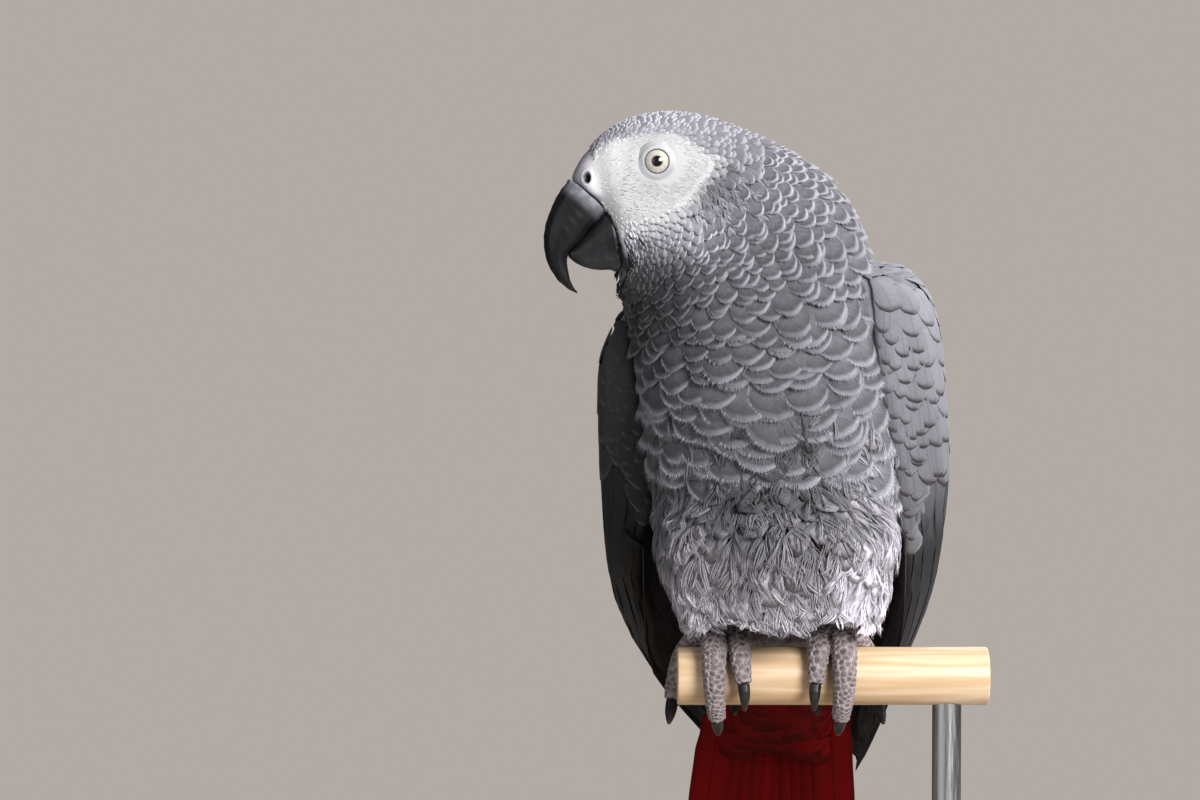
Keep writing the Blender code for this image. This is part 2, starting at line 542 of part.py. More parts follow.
def main():
    clear_scene()
    looks = {
        "grey": material("grey_plumage", PLUMAGE_GREY, 0.75),
        "pale": material("pale_plumage", PALE_GREY, 0.75),
        "charcoal": material("flight_feathers", CHARCOAL, 0.6),
        "red": material("red_plumage", TAIL_RED, 0.65),
        "horn": material("bill_horn", HORN_BLACK, 0.3),
        "claw": material("claw_horn", HORN_BLACK, 0.35),
        "white": material("bare_skin", SKIN_WHITE, 0.6),
        "scales": material("scaled_skin", SCALE_GREY, 0.6),
        "eye": material("eye", IRIS_CREAM, 0.1),
        "pine": material("pine", PINE, 0.5),
        "stand": material("stand_wood", STAND_WOOD, 0.5),
        "steel": material("steel", STEEL, 0.35, 1.0),
    }
    head = body_part("head", "bill_base", "nape", looks["pale"], trim=(0, 1), step=5.5)
    body_part("neck", "nape", "shoulders", looks["grey"], step=7.0)
    trunk = body_part("trunk", "shoulders", "hips", looks["grey"])
    rump = body_part("rump", "hips", "tail_root", looks["grey"])
    body_part("tail_coverts", "tail_root", "tail_coverts", looks["red"])
    for name, place in EYES.items():
        ellipsoid(name, place, (EYE_RADIUS,) * 3, looks["eye"], 12, 8)
        cut(head, ellipsoid("guide_" + name, place, (EYE_RADIUS + GAP,) * 3, looks["eye"], 12, 8))
    upper, lower = make_upper_bill(looks["horn"]), make_lower_bill(looks["horn"])
    make_cere(looks["white"])
    head_guide = loft("guide_head", body_rings(spine("bill_base", "collar"), HEAD_GAP), looks["pale"])
    cut(lower, head_guide)
    cut(upper, head_guide)
    deeper_bill = [(ridge, (edge[0], edge[1] - GAP), width) for ridge, edge, width in UPPER_BILL]
    grown_bill = [head_frame(pair, width + GAP, UPPER_PINCH) for pair, width in resample(deeper_bill, 12)]
    cut(lower, loft("guide_upper_bill", grown_bill, looks["horn"]))
    body_cutter = loft("guide_body", body_rings(spine("breast", "tail_root"), GAP), looks["grey"])
    for side in ("left", "right"):
        make_wing(side, looks)
        foot = make_leg(side, looks, body_cutter)
        for cutter in foot:
            cut(trunk, cutter)
            cut(rump, cutter)
    make_tail(looks)
    make_stand(looks)


main()
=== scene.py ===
"""The looks of a life-size grey parrot on a dowel perch: skin, feathers, bill, eyes, feet, perch and stand.

Shapes are worked out in millimetres, in the model's own frame, and become metres in a piece's mesh.
"""

import math

import bmesh
import bpy
import numpy as np
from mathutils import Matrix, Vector
from mathutils.bvhtree import BVHTree


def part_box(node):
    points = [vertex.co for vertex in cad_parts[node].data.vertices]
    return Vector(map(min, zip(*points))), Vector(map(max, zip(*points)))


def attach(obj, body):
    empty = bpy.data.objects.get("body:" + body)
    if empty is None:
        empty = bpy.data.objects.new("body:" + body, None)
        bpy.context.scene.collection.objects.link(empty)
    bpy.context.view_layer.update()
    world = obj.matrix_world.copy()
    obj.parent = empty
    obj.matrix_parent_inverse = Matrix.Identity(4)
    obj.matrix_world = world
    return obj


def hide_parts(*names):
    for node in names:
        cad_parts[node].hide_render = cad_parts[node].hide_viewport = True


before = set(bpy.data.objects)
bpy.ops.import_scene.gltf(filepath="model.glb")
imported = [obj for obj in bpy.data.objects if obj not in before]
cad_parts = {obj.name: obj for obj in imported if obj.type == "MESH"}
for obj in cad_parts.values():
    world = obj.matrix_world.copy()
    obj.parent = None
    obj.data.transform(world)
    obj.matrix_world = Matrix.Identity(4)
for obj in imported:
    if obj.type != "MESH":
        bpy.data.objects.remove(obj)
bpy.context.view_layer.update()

MM = 0.001
DICE = np.random.default_rng(7)

# ---------------------------------------------------------------- reading the CAD nodes


def corners(*names):
    """The corners of CAD nodes, in millimetres."""
    parts = []
    for name in names:
        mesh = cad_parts[name].data
        flat = np.empty(len(mesh.vertices) * 3, np.float32)
        mesh.vertices.foreach_get("co", flat)
        parts.append(flat.reshape(-1, 3).astype(float) / MM)
    return np.concatenate(parts)


def triangles(*names):
    """The corners and triangles of CAD nodes taken together."""
    faces, start = [], 0
    for name in names:
        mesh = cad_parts[name].data
        loops = np.empty(len(mesh.loops), np.int32)
        mesh.loops.foreach_get("vertex_index", loops)
        faces.append(loops.reshape(-1, 3) + start)
        start += len(mesh.vertices)
    return corners(*names), np.concatenate(faces)


def target_of(points, faces):
    """A mesh as a surface that rays and distances can be measured to."""
    return BVHTree.FromPolygons(points.tolist(), faces.tolist())


def tree(*names):
    """CAD nodes together, as such a surface."""
    return target_of(*triangles(*names))


def distances(target, points):
    return np.array([target.find_nearest(Vector(p))[3] for p in points])


def middle(name):
    """The middle of a CAD node's box, in millimetres."""
    low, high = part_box(name)
    return np.array((low + high) / 2) / MM


def unit(vectors):
    return vectors / np.maximum(np.linalg.norm(vectors, axis=-1, keepdims=True), 1e-12)


def smooth_step(low, high, value):
    share = np.clip((value - low) / (high - low), 0, 1)
    return share * share * (3 - 2 * share)


def turns(count):
    """Angles evenly all the way round."""
    return np.arange(count) * 2 * math.pi / count


def blur(grid, rows, columns, closed):
    """A grid smoothed by a bell curve whose spread is given in rows and in columns."""
    for axis, spread in ((0, rows), (1, columns)):
        if spread <= 0:
            continue
        reach = int(3 * spread) + 1
        weights = np.exp(-0.5 * (np.arange(-reach, reach + 1) / spread) ** 2)
        weights /= weights.sum()
        mode = "wrap" if closed and axis == 1 else "edge"
        pad = [(reach, reach) if a == axis else (0, 0) for a in range(grid.ndim)]
        wide = np.pad(grid, pad, mode=mode)
        count = grid.shape[axis]
        grid = sum(w * np.take(wide, np.arange(k, k + count), axis) for k, w in enumerate(weights))
    return grid


# ---------------------------------------------------------------- mesh tools


def merged(names):
    """Corners and triangles of nodes, with the loose triangles joined up."""
    points, faces = triangles(*names)
    keys, inverse = np.unique(np.round(points, 3), axis=0, return_inverse=True)
    return keys, inverse.ravel()[faces]


def vertex_normals(points, faces):
    """Outward normals at the corners of a mesh of triangles or quads."""
    crossed = np.cross(points[faces[:, 2]] - points[faces[:, 0]],
                       points[faces[:, -1]] - points[faces[:, 1]])
    total = np.zeros_like(points)
    for k in range(faces.shape[1]):
        np.add.at(total, faces[:, k], crossed)
    return unit(total)


def mesh_of(name, points, loops, sizes):
    """A mesh from corners in millimetres, the corners of its faces one after another, and their sizes."""
    mesh = bpy.data.meshes.new(name)
    mesh.vertices.add(len(points))
    mesh.vertices.foreach_set("co", (points * MM).astype(np.float32).ravel())
    mesh.loops.add(len(loops))
    mesh.loops.foreach_set("vertex_index", loops.astype(np.int32))
    mesh.polygons.add(len(sizes))
    starts = np.concatenate([[0], np.cumsum(sizes)[:-1]])
    mesh.polygons.foreach_set("loop_start", starts.astype(np.int32))
    mesh.update(calc_edges=True)
    return mesh


def new_mesh(name, points, faces):
    """A mesh from corners in millimetres and an array of triangles or quads."""
    return mesh_of(name, points, faces.ravel(), np.full(len(faces), faces.shape[1]))


def evaluated(mesh, *settings):
    """Corners and faces of a mesh after modifiers, each given as (kind, properties)."""
    helper = bpy.data.objects.new("helper", mesh)
    bpy.context.scene.collection.objects.link(helper)
    for kind, values in settings:
        modifier = helper.modifiers.new(kind.lower(), kind)
        for key, value in values.items():
            setattr(modifier, key, value)
    depsgraph = bpy.context.evaluated_depsgraph_get()
    result = helper.evaluated_get(depsgraph).to_mesh()
    points = np.empty(len(result.vertices) * 3, np.float32)
    result.vertices.foreach_get("co", points)
    sides = len(result.loops) // len(result.polygons)
    faces = np.empty(len(result.loops), np.int32)
    result.loops.foreach_get("vertex_index", faces)
    bpy.data.objects.remove(helper)
    bpy.data.meshes.remove(mesh)
    return points.reshape(-1, 3).astype(float) / MM, faces.reshape(-1, sides)


def remeshed(names, voxel, swell):
    """One even skin of quads over several nodes, swollen first so that the cuts between them close."""
    points, faces = merged(names)
    points = points + vertex_normals(points, faces) * swell
    return evaluated(new_mesh("lump", points, faces),
                     ("REMESH", {"mode": "VOXEL", "voxel_size": voxel * MM}))


def relaxed(points, faces, rounds, share=0.5):
    """Corners moved part of the way to the middle of their neighbours."""
    edges = np.concatenate([faces[:, [k, (k + 1) % faces.shape[1]]] for k in range(faces.shape[1])])
    count = np.maximum(np.bincount(edges.ravel(), minlength=len(points)), 1)[:, None]
    for _ in range(rounds):
        total = np.zeros_like(points)
        np.add.at(total, edges[:, 0], points[edges[:, 1]])
        np.add.at(total, edges[:, 1], points[edges[:, 0]])
        points = points + share * (total / count - points)
    return points


def thickness(points, faces, normals):
    """How thick a closed mesh is under each corner."""
    target = target_of(points, faces)
    found = np.full(len(points), 60.0)
    for i, (point, normal) in enumerate(zip(points, normals)):
        distance = target.ray_cast(Vector(point - normal * 0.05), Vector(-normal), 60.0)[3]
        if distance is not None:
            found[i] = distance
    return found


def ring_faces(rings, around):
    faces = []
    for i in range(rings - 1):
        for j in range(around):
            k = (j + 1) % around
            faces.append((i * around + j, i * around + k, (i + 1) * around + k, (i + 1) * around + j))
    return faces


def closed_rings(rings, around, first_pole, last_pole):
    """Faces between rings of points, closed at both ends by a point of their own."""
    last = (rings - 1) * around
    faces = ring_faces(rings, around)
    faces += [((j + 1) % around, j, first_pole) for j in range(around)]
    faces += [(last + j, last + (j + 1) % around, last_pole) for j in range(around)]
    return faces


def solid_mesh(name, points, faces):
    """A mesh from points and faces of any size, with its normals turned outwards."""
    mesh = bpy.data.meshes.new(name)
    mesh.from_pydata([tuple(p * MM) for p in points], [], faces)
    made = bmesh.new()
    made.from_mesh(mesh)
    bmesh.ops.recalc_face_normals(made, faces=made.faces)
    made.to_mesh(mesh)
    made.free()
    mesh.shade_smooth()
    return mesh


def paint(mesh, colors):
    """Gives a mesh a colour at each corner, as the attribute that its material reads."""
    layer = mesh.attributes.new("tint", "FLOAT_COLOR", "POINT")
    full = np.concatenate([colors, np.ones((len(colors), 1))], axis=1)
    layer.data.foreach_set("color", full.astype(np.float32).ravel())


def finish_piece(name, mesh, material, nodes=()):
    """Makes a mesh a piece of the model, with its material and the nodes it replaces."""
    piece = bpy.data.objects.new(name, mesh)
    bpy.context.scene.collection.objects.link(piece)
    mesh.materials.append(material)
    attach(piece, "root")
    if nodes:
        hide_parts(*nodes)


def smooth_piece(name, points, faces, color, material, nodes):
    """A piece made of one array of triangles or quads, shaded smooth."""
    mesh = new_mesh(name, points, faces)
    mesh.shade_smooth()
    paint(mesh, color)
    finish_piece(name, mesh, material, nodes)


# ---------------------------------------------------------------- the spine, from bill base to tail tip

BODY = ("head", "neck", "trunk", "rump", "tail_coverts", "tail")
WINGS = {side: [f"wing_{side}_{part}" for part in ("coverts", "secondaries", "primaries")]
         for side in ("left", "right")}
SPINE_ROWS = 300
AROUND = 160
OUTSIDE = 78.0  # further from the spine than any feather
SWELL = 0.35  # closes the cuts between nodes
FRAME_BLUR = 20.0  # rows over which the spine's cross-sections turn
CUT = 1.3  # wider than the cuts between nodes
BILL_SEAM = 2.4  # wider than the gap between cere and head
PER_KNOT = 200  # points of the fine line between two knots


def seam(upper, lower, reach):
    """Centre and direction of the cut between two nodes."""
    here, there = corners(upper), corners(lower)
    gap = np.min(np.linalg.norm(here[:, None] - there[None], axis=2), axis=1)
    near = np.unique(np.round(here[gap < reach], 2), axis=0)
    axes = np.linalg.svd(near - near.mean(0))[2]
    spans = near @ axes.T
    centre = (spans.min(0) + spans.max(0)) / 2 @ axes
    return centre, axes[2] * np.sign(axes[2] @ (there.mean(0) - here.mean(0)))


def resampled(wanted, rows, grid):
    """A grid's values at wanted rows, where rows numbers the grid's own rows."""
    flat = grid.reshape(len(grid), -1)
    made = [np.interp(wanted, rows, flat[:, k]) for k in range(flat.shape[1])]
    return np.stack(made, -1).reshape(len(wanted), *grid.shape[1:])


def make_spine():
    """Points, right-hand and rearward axes, the rows where the nodes meet, and the length of a row."""
    knots = [seam("cere", "head", BILL_SEAM)]
    knots += [seam(a, b, CUT) for a, b in zip(BODY[:4], BODY[1:5])]
    tail = corners("tail")
    far = np.linalg.norm(tail - knots[-1][0], axis=1)
    order = np.argsort(far)
    share = len(order) // 6
    root, tip = tail[order[:share]].mean(0), tail[order[-share:]].mean(0)
    ahead = unit(tip - root)
    knots.append((root, ahead))
    knots.append((root + ahead * ((tail - root) @ ahead).max(), ahead))
    places = np.array([k[0] for k in knots])
    lengths = np.linalg.norm(np.diff(places, axis=0), axis=1)
    line = []
    for k, length in enumerate(lengths):
        t = np.linspace(0, 1, PER_KNOT, endpoint=k == len(lengths) - 1)[:, None]
        line.append((2 * t**3 - 3 * t**2 + 1) * places[k] + (t**3 - 2 * t**2 + t) * length * knots[k][1]
                    + (3 * t**2 - 2 * t**3) * places[k + 1] + (t**3 - t**2) * length * knots[k + 1][1])
    line = np.concatenate(line)
    at = np.concatenate([[0], np.cumsum(np.linalg.norm(np.diff(line, axis=0), axis=1))])
    even = np.linspace(0, at[-1], SPINE_ROWS)
    points = resampled(even, at, line)
    down = unit(blur(np.gradient(points, axis=0), FRAME_BLUR, 0, False))
    rear = unit(np.array((0.0, 1.0, 0.0)) - down * down[:, 1:2])
    right = np.cross(down, rear)
    seams = at[np.arange(len(knots)) * PER_KNOT - np.array([0] * (len(knots) - 1) + [1])]
    return points, right, rear, seams / at[-1] * (SPINE_ROWS - 1), at[-1] / (SPINE_ROWS - 1)


SPINE, RIGHT, REAR, SEAMS, ROW_LENGTH = make_spine()
ANGLES = turns(AROUND)
RAYS = np.cos(ANGLES)[None, :, None] * RIGHT[:, None] + np.sin(ANGLES)[None, :, None] * REAR[:, None]


def locate(points):
    """The nearest spine row and the angle round the spine of places on the body."""
    rows = np.concatenate([np.argmin(np.linalg.norm(part[:, None] - SPINE[None], axis=2), axis=1)
                           for part in np.array_split(points, max(1, len(points) // 4000))])
    away = points - SPINE[rows]
    angle = np.arctan2(np.sum(away * REAR[rows], axis=1), np.sum(away * RIGHT[rows], axis=1))
    return rows.astype(float), angle


def at(place):
    """The spine's row at a place: 0 bill base, 1 nape, 2 shoulders, 3 hips, 4 tail root, 5 and 6 tail."""
    return np.interp(place, np.arange(7), SEAMS)


def place_at(row):
    """The place, from 0 at the bill base to 6 at the tail tip, of a spine row."""
    return np.interp(row, SEAMS, np.arange(7))


def by_place(row, table):
    """A value read from a table of (place, value) pairs."""
    places, values = zip(*table)
    return np.interp(place_at(row), places, values)


# ---------------------------------------------------------------- surfaces that feathers lie on

WING_CAP = 6.0  # how far down a wing's top is rounded off onto the body
WING_LEAD = 8  # rows of the body above a wing that its first feathers grow from
TAIL_ROOTS = 12  # rows that carry the tail's feathers up under its coverts
TAIL_REACH = 20.0  # half of the tail's least width, and more than half its thickness


def first_hit(target, start, ray):
    """Distance from a point to a surface along a ray, or not a number."""
    distance = target.ray_cast(start, ray, OUTSIDE)[3]
    return np.nan if distance is None else distance


def way_out(target, start, ray):
    """Distance along a ray to where it leaves solids, crossing the thin cuts between them."""
    reach = first_hit(target, start, ray)
    while True:
        step = first_hit(target, start + ray * (reach + 0.01), ray)
        if math.isnan(step) or step > CUT and reach > CUT:
            return reach
        reach += step + 0.01


def from_outside(target, start, ray):
    """Distance along a ray to the outermost surface, found by looking back from beyond it."""
    return OUTSIDE - first_hit(target, start + ray * OUTSIDE, -ray)


def cast(measure, target, rows=range(SPINE_ROWS)):
    """How far a shape reaches from the spine at each row and angle."""
    found = np.full((SPINE_ROWS, AROUND), np.nan)
    for i in rows:
        for j in range(AROUND):
            found[i, j] = measure(target, Vector(SPINE[i]), Vector(RAYS[i, j]))
    return found


def filled(grid):
    """A grid whose empty cells take the value of the nearest filled cell of the row, or else of a row."""
    grid = grid.copy()
    for row in grid:
        good = np.flatnonzero(~np.isnan(row))
        if 0 < len(good) < len(row):
            away = np.abs(np.arange(len(row))[:, None] - good[None])
            away = np.minimum(away, len(row) - away)
            row[:] = row[good[np.argmin(away, axis=1)]]
    good = np.flatnonzero(~np.isnan(grid[:, 0]))
    for i in np.flatnonzero(np.isnan(grid[:, 0])):
        grid[i] = grid[good[np.argmin(np.abs(good - i))]]
    return grid


def middling(grid, reach=3):
    """Each value replaced by the middle one of its neighbours along the column."""
    wide = np.pad(grid, ((reach, reach), (0, 0)), mode="edge")
    stack = [wide[k:k + len(grid)] for k in range(2 * reach + 1)]
    return np.nanmedian(np.array(stack), axis=0)


def read_cells(grid, row, column, closed=False):
    """A grid's value between its cells."""
    rows, columns = grid.shape[:2]
    i = np.clip(np.floor(row).astype(int), 0, rows - 2)
    f = row - i
    if closed:
        j = np.floor(column).astype(int)
        g = column - j
        j, k = j % columns, (j + 1) % columns
    else:
        j = np.clip(np.floor(column).astype(int), 0, columns - 2)
        g = column - j
        k = j + 1
    if grid.ndim == 3:
        f, g = f[..., None], g[..., None]
    return ((1 - f) * ((1 - g) * grid[i, j] + g * grid[i, k])
            + f * ((1 - g) * grid[i + 1, j] + g * grid[i + 1, k]))


class Surface:
    """A grid of points that feathers lie on. Rows follow the lie of the coat and columns go across it."""

    def __init__(self, points, closed, outward):
        self.points, self.closed = points, closed
        along = np.gradient(points, axis=0)
        if closed:
            across = (np.roll(points, -1, 1) - np.roll(points, 1, 1)) / 2
        else:
            across = np.gradient(points, axis=1)
        self.along = np.maximum(np.linalg.norm(along, axis=-1), 1e-3)
        self.across = np.maximum(np.linalg.norm(across, axis=-1), 1e-3)
        normals = unit(np.cross(across, along))
        self.turn = 1.0 if np.sum(normals * outward) > 0 else -1.0
        self.normals = normals * self.turn

    def read(self, grid, row, column):
        return read_cells(grid, row, column, self.closed)

    def reached(self, row, column, ahead):
        """The rows reached by going some millimetres along from roots."""
        start = self.read(self.along, row, column)[:, None]
        half = row[:, None] + 0.5 * ahead / start
        here = column[:, None] + 0 * half
        return row[:, None] + ahead / np.clip(self.read(self.along, half, here), 0.3 * start, 3 * start)

    def length_to(self, row, column, end):
        """How long feathers are whose roots and tips lie in given rows."""
        tries = np.linspace(5, 260, 120)
        found = self.reached(row, column, np.tile(tries, (len(row), 1)))
        return np.array([np.interp(e, f, tries) for e, f in zip(end, np.maximum.accumulate(found, 1))])

    def lay(self, row, column, yaw, x, y, height):
        """Points x across and y along from a root, in millimetres, at a height over the surface."""
        c, s = np.cos(yaw)[:, None], np.sin(yaw)[:, None]
        ahead, aside = y * c - x * s, y * s + x * c
        rows = self.reached(row, column, ahead)
        here = column[:, None] + 0 * rows
        wide = self.read(self.across, row, column)[:, None]
        columns = here + aside / np.clip(self.read(self.across, rows, here), 0.5 * wide, 2 * wide)
        normal = unit(self.read(self.normals, rows, columns))
        return self.read(self.points, rows, columns) + normal * height[..., None]


def make_body_surface():
    """The body's outside from bill base to tail, thighs included, smoothed more below the neck."""
    points, faces = remeshed(("cere", *BODY, "eye_left", "eye_right"), 1.5, SWELL)
    lump = target_of(points, faces)
    reach = middling(filled(cast(way_out, lump))) - SWELL
    thighs = cast(from_outside, tree("thigh_left", "thigh_right"), range(int(at(2)), int(at(4))))
    reach = np.fmax(reach, np.minimum(thighs, reach + 8.0))
    lower = smooth_step(at(1.1), at(1.8), np.arange(SPINE_ROWS))[:, None]
    reach = blur(reach, 2.2, 1.6, True) * (1 - lower) + blur(reach, 6.0, 4.5, True) * lower
    return Surface(SPINE[:, None] + reach[..., None] * RAYS, True, RAYS)


def across_wing(side, measure, names, share, inset, spreads):
    """A wing's rows, with the angles and distances of its places from leading to trailing edge.

    inset narrows both edges, in radians, and spreads smooths the angles and the distances.
    """
    hits = cast(measure, tree(*names), range(int(at(1.2)), SPINE_ROWS))
    rows = np.flatnonzero((~np.isnan(hits)).sum(1) > 2)
    out_angle = ANGLES if side == "left" else math.pi - ANGLES
    out_angle = (out_angle + math.pi) % (2 * math.pi) - math.pi
    order = np.argsort(out_angle)
    angles, reach = [], []
    for i in rows:
        good = order[~np.isnan(hits[i, order])]
        lead, trail = out_angle[good[0]] + inset[0], out_angle[good[-1]] - inset[1]
        angles.append(lead + share * (trail - lead))
        reach.append(np.interp(angles[-1], out_angle[good], hits[i, good]))
    return rows, blur(np.array(angles), spreads[0], 0, False), blur(np.array(reach), spreads[1], 1, False)


def wing_underside(side, steps=120, columns=41, margin=0.15):
    """The inner side of a wing's primaries, as a grid from their leading to their trailing edge."""
    share = np.linspace(-margin, 1 + margin, columns)
    rows, *grids = across_wing(side, first_hit, WINGS[side][2:], share, (0, 0), (3, 2.5))
    wanted = np.linspace(rows[0], rows[-1], steps)
    angles, reach = (resampled(wanted, rows, g)[..., None] for g in grids)
    spine, right, rear = (resampled(wanted, rows, g[rows]) for g in (SPINE, RIGHT, REAR))
    sign = 1.0 if side == "left" else -1.0
    rays = sign * np.cos(angles) * right[:, None] + np.sin(angles) * rear[:, None]
    surface = Surface(spine[:, None] + reach * rays, False, -rays)
    surface.spine_rows, surface.share = wanted, share
    return surface


def wing_surface(side, steps=150, outer=33, margin=6):
    """A wing's outer side from its shoulder to its tip, with its leading edge rolled under."""
    sign = 1.0 if side == "left" else -1.0
    share = np.linspace(0, 1, outer)
    rows, *grids = across_wing(side, from_outside, WINGS[side], share, (0.02, 0.01), (4, 3))
    wanted = np.linspace(rows[0] - WING_LEAD, rows[-1], steps)
    angles, reach = (resampled(wanted, rows, g) for g in grids)
    spine, right, rear = (resampled(wanted, np.arange(SPINE_ROWS), g) for g in (SPINE, RIGHT, REAR))
    column = (angles if sign > 0 else math.pi - angles) / (2 * math.pi) * AROUND
    body = BODY_SURFACE.read(BODY_SURFACE.points, wanted[:, None] + 0 * column, column)
    low = np.linalg.norm(body - spine[:, None], axis=-1) - 1.0
    down = np.clip((wanted - rows[0]) * ROW_LENGTH / WING_CAP + 0.25, 0, 1)[:, None]
    reach = low + (reach - low) * np.sqrt(1 - (1 - down) ** 2)
    rays = (sign * np.cos(angles)[..., None] * right[:, None] + np.sin(angles)[..., None] * rear[:, None])
    points = spine[:, None] + reach[..., None] * rays
    forward = unit(points[:, :1] - points[:, 1:2])
    inward = -rays[:, :1]
    turn = np.linspace(math.radians(150), 0, margin, endpoint=False)[None, :, None]
    roll = 2.6 * down[..., None]
    rolled = points[:, :1] + roll * (np.sin(turn) * forward + (1 - np.cos(turn)) * inward)
    outward = np.concatenate([rays[:, :1].repeat(margin, 1), rays], 1)
    surface = Surface(np.concatenate([rolled, points], 1), False, outward)
    surface.share = np.concatenate([np.linspace(-0.15, 0, margin, endpoint=False), share])
    surface.spine_rows = wanted
    return surface


def tail_surface(steps=60, columns=31, spread=1.15):
    """The middle of the tail's plate, with its half-thickness."""
    target = tree("tail")
    first, last = int(at(5)) + 1, SPINE_ROWS - 2
    rows = np.linspace(first, last, steps)
    across = np.linspace(-spread, spread, columns)
    points = np.zeros((steps, columns, 3))
    thick = np.full((steps, columns), np.nan)
    for i, row in enumerate(rows):
        k = int(row)
        spine, right, rear = SPINE[k], RIGHT[k], REAR[k]
        edges = [OUTSIDE - first_hit(target, Vector(spine + right * s * OUTSIDE), Vector(-right * s))
                 for s in (1, -1)]
        half = np.nanmax([*edges, TAIL_REACH])
        for j, share in enumerate(across):
            base = spine + right * share * half
            over = first_hit(target, Vector(base + rear * TAIL_REACH), Vector(-rear))
            under = first_hit(target, Vector(base - rear * TAIL_REACH), Vector(rear))
            if not (math.isnan(over) or math.isnan(under)):
                thick[i, j] = (2 * TAIL_REACH - over - under) / 2
                base = base + rear * (under - over) / 2
            points[i, j] = base
    good = ~np.isnan(thick)
    for i in range(steps):
        if good[i].sum() > 2:
            seen = np.flatnonzero(good[i])
            for j in np.flatnonzero(~good[i]):
                near = seen[np.argmin(np.abs(seen - j))]
                shift = (points[i, near] - SPINE[int(rows[i])]) @ REAR[int(rows[i])]
                points[i, j] += REAR[int(rows[i])] * shift
                thick[i, j] = thick[i, near]
    whole = np.flatnonzero(~np.isnan(thick[:, 0]))
    points, thick = blur(points[whole], 1.5, 1.5, False), thick[whole]
    rise = unit((points[0] - points[4]).mean(0))
    step = np.linalg.norm(np.diff(points[:, columns // 2], axis=0), axis=1).mean()
    above = [points[0] + rise * step * k for k in range(TAIL_ROOTS, 0, -1)]
    points = np.concatenate([above, points])
    thick = np.concatenate([np.repeat(thick[:1], TAIL_ROOTS, 0), thick])
    whole = np.concatenate([np.full(TAIL_ROOTS, whole[0]), whole])
    surface = Surface(points, False, REAR[rows[whole].astype(int)][:, None])
    surface.thick = thick
    surface.share = across
    surface.spine_rows = rows[whole]
    return surface


BODY_SURFACE = make_body_surface()
WING_SURFACES = {side: wing_surface(side) for side in WINGS}
UNDERSIDES = {side: wing_underside(side) for side in WINGS}
TAIL = tail_surface()

# ---------------------------------------------------------------- feather shapes

CORNER_VALUES = ("x", "y", "t", "s", "rise", "body", "hang")  # what a shape says about each corner


def vane_faces(rows, columns):
    """Faces of a closed thin vane: its top, and strips across its underside."""
    def v(i, j):
        return i * columns + j

    half, end, last = (columns - 1) // 2, rows - 1, columns - 1
    top = [(v(i, j), v(i, j + 1), v(i + 1, j + 1), v(i + 1, j)) for i in range(end) for j in range(last)]
    under = [(v(i, 0), v(i + 1, 0), v(i + 1, last), v(i, last)) for i in range(end)]
    for j in range(half):
        under.append((v(0, j + 1), v(0, j), v(0, last - j), v(0, last - 1 - j)))
        under.append((v(end, j), v(end, j + 1), v(end, last - 1 - j), v(end, last - j)))
    under = [tuple(dict.fromkeys(face)) for face in under]
    return top, under


def vane(rows, columns, waist=0.45, full=0.45, shoulder=0.5, ridge=0.0, ripple=0.0, seed=0):
    """A feather's vane, one unit long and one unit from shaft to edge.

    waist is the half-width at the root, full the place along it where it is widest, shoulder the place
    where its rounded end begins. ridge raises the shaft and ripple makes the edge uneven.
    """
    dice = np.random.default_rng(seed)
    t = np.linspace(0, 1, rows)[:, None]
    s = np.linspace(-1, 1, columns)[None, :]
    width = waist + (1 - waist) * np.sin(np.clip(t / full, 0, 1) * math.pi / 2)
    reach = shoulder + (1 - shoulder) * np.cos(s * math.pi / 2) ** 0.8
    reach = reach + ripple * dice.uniform(-1, 1, reach.shape)
    across = np.sin(s * math.pi / 2)
    x, y = across * width, t * reach
    rise = ridge * np.exp(-(s / 0.12) ** 2) + 0 * t
    body = np.sqrt(np.clip(1 - s**2, 0, 1)) * np.sin(np.clip(t * 0.9 + 0.1, 0, 1) * math.pi) ** 0.5
    top, under = vane_faces(rows, columns)
    return {
        "x": x.ravel(), "y": y.ravel(), "t": (t + 0 * s).ravel(), "s": (s + 0 * t).ravel(),
        "rise": rise.ravel(), "body": body.ravel(), "hang": np.zeros(rows * columns),
        "faces": top + under, "flat": [False] * len(top) + [True] * len(under),
    }


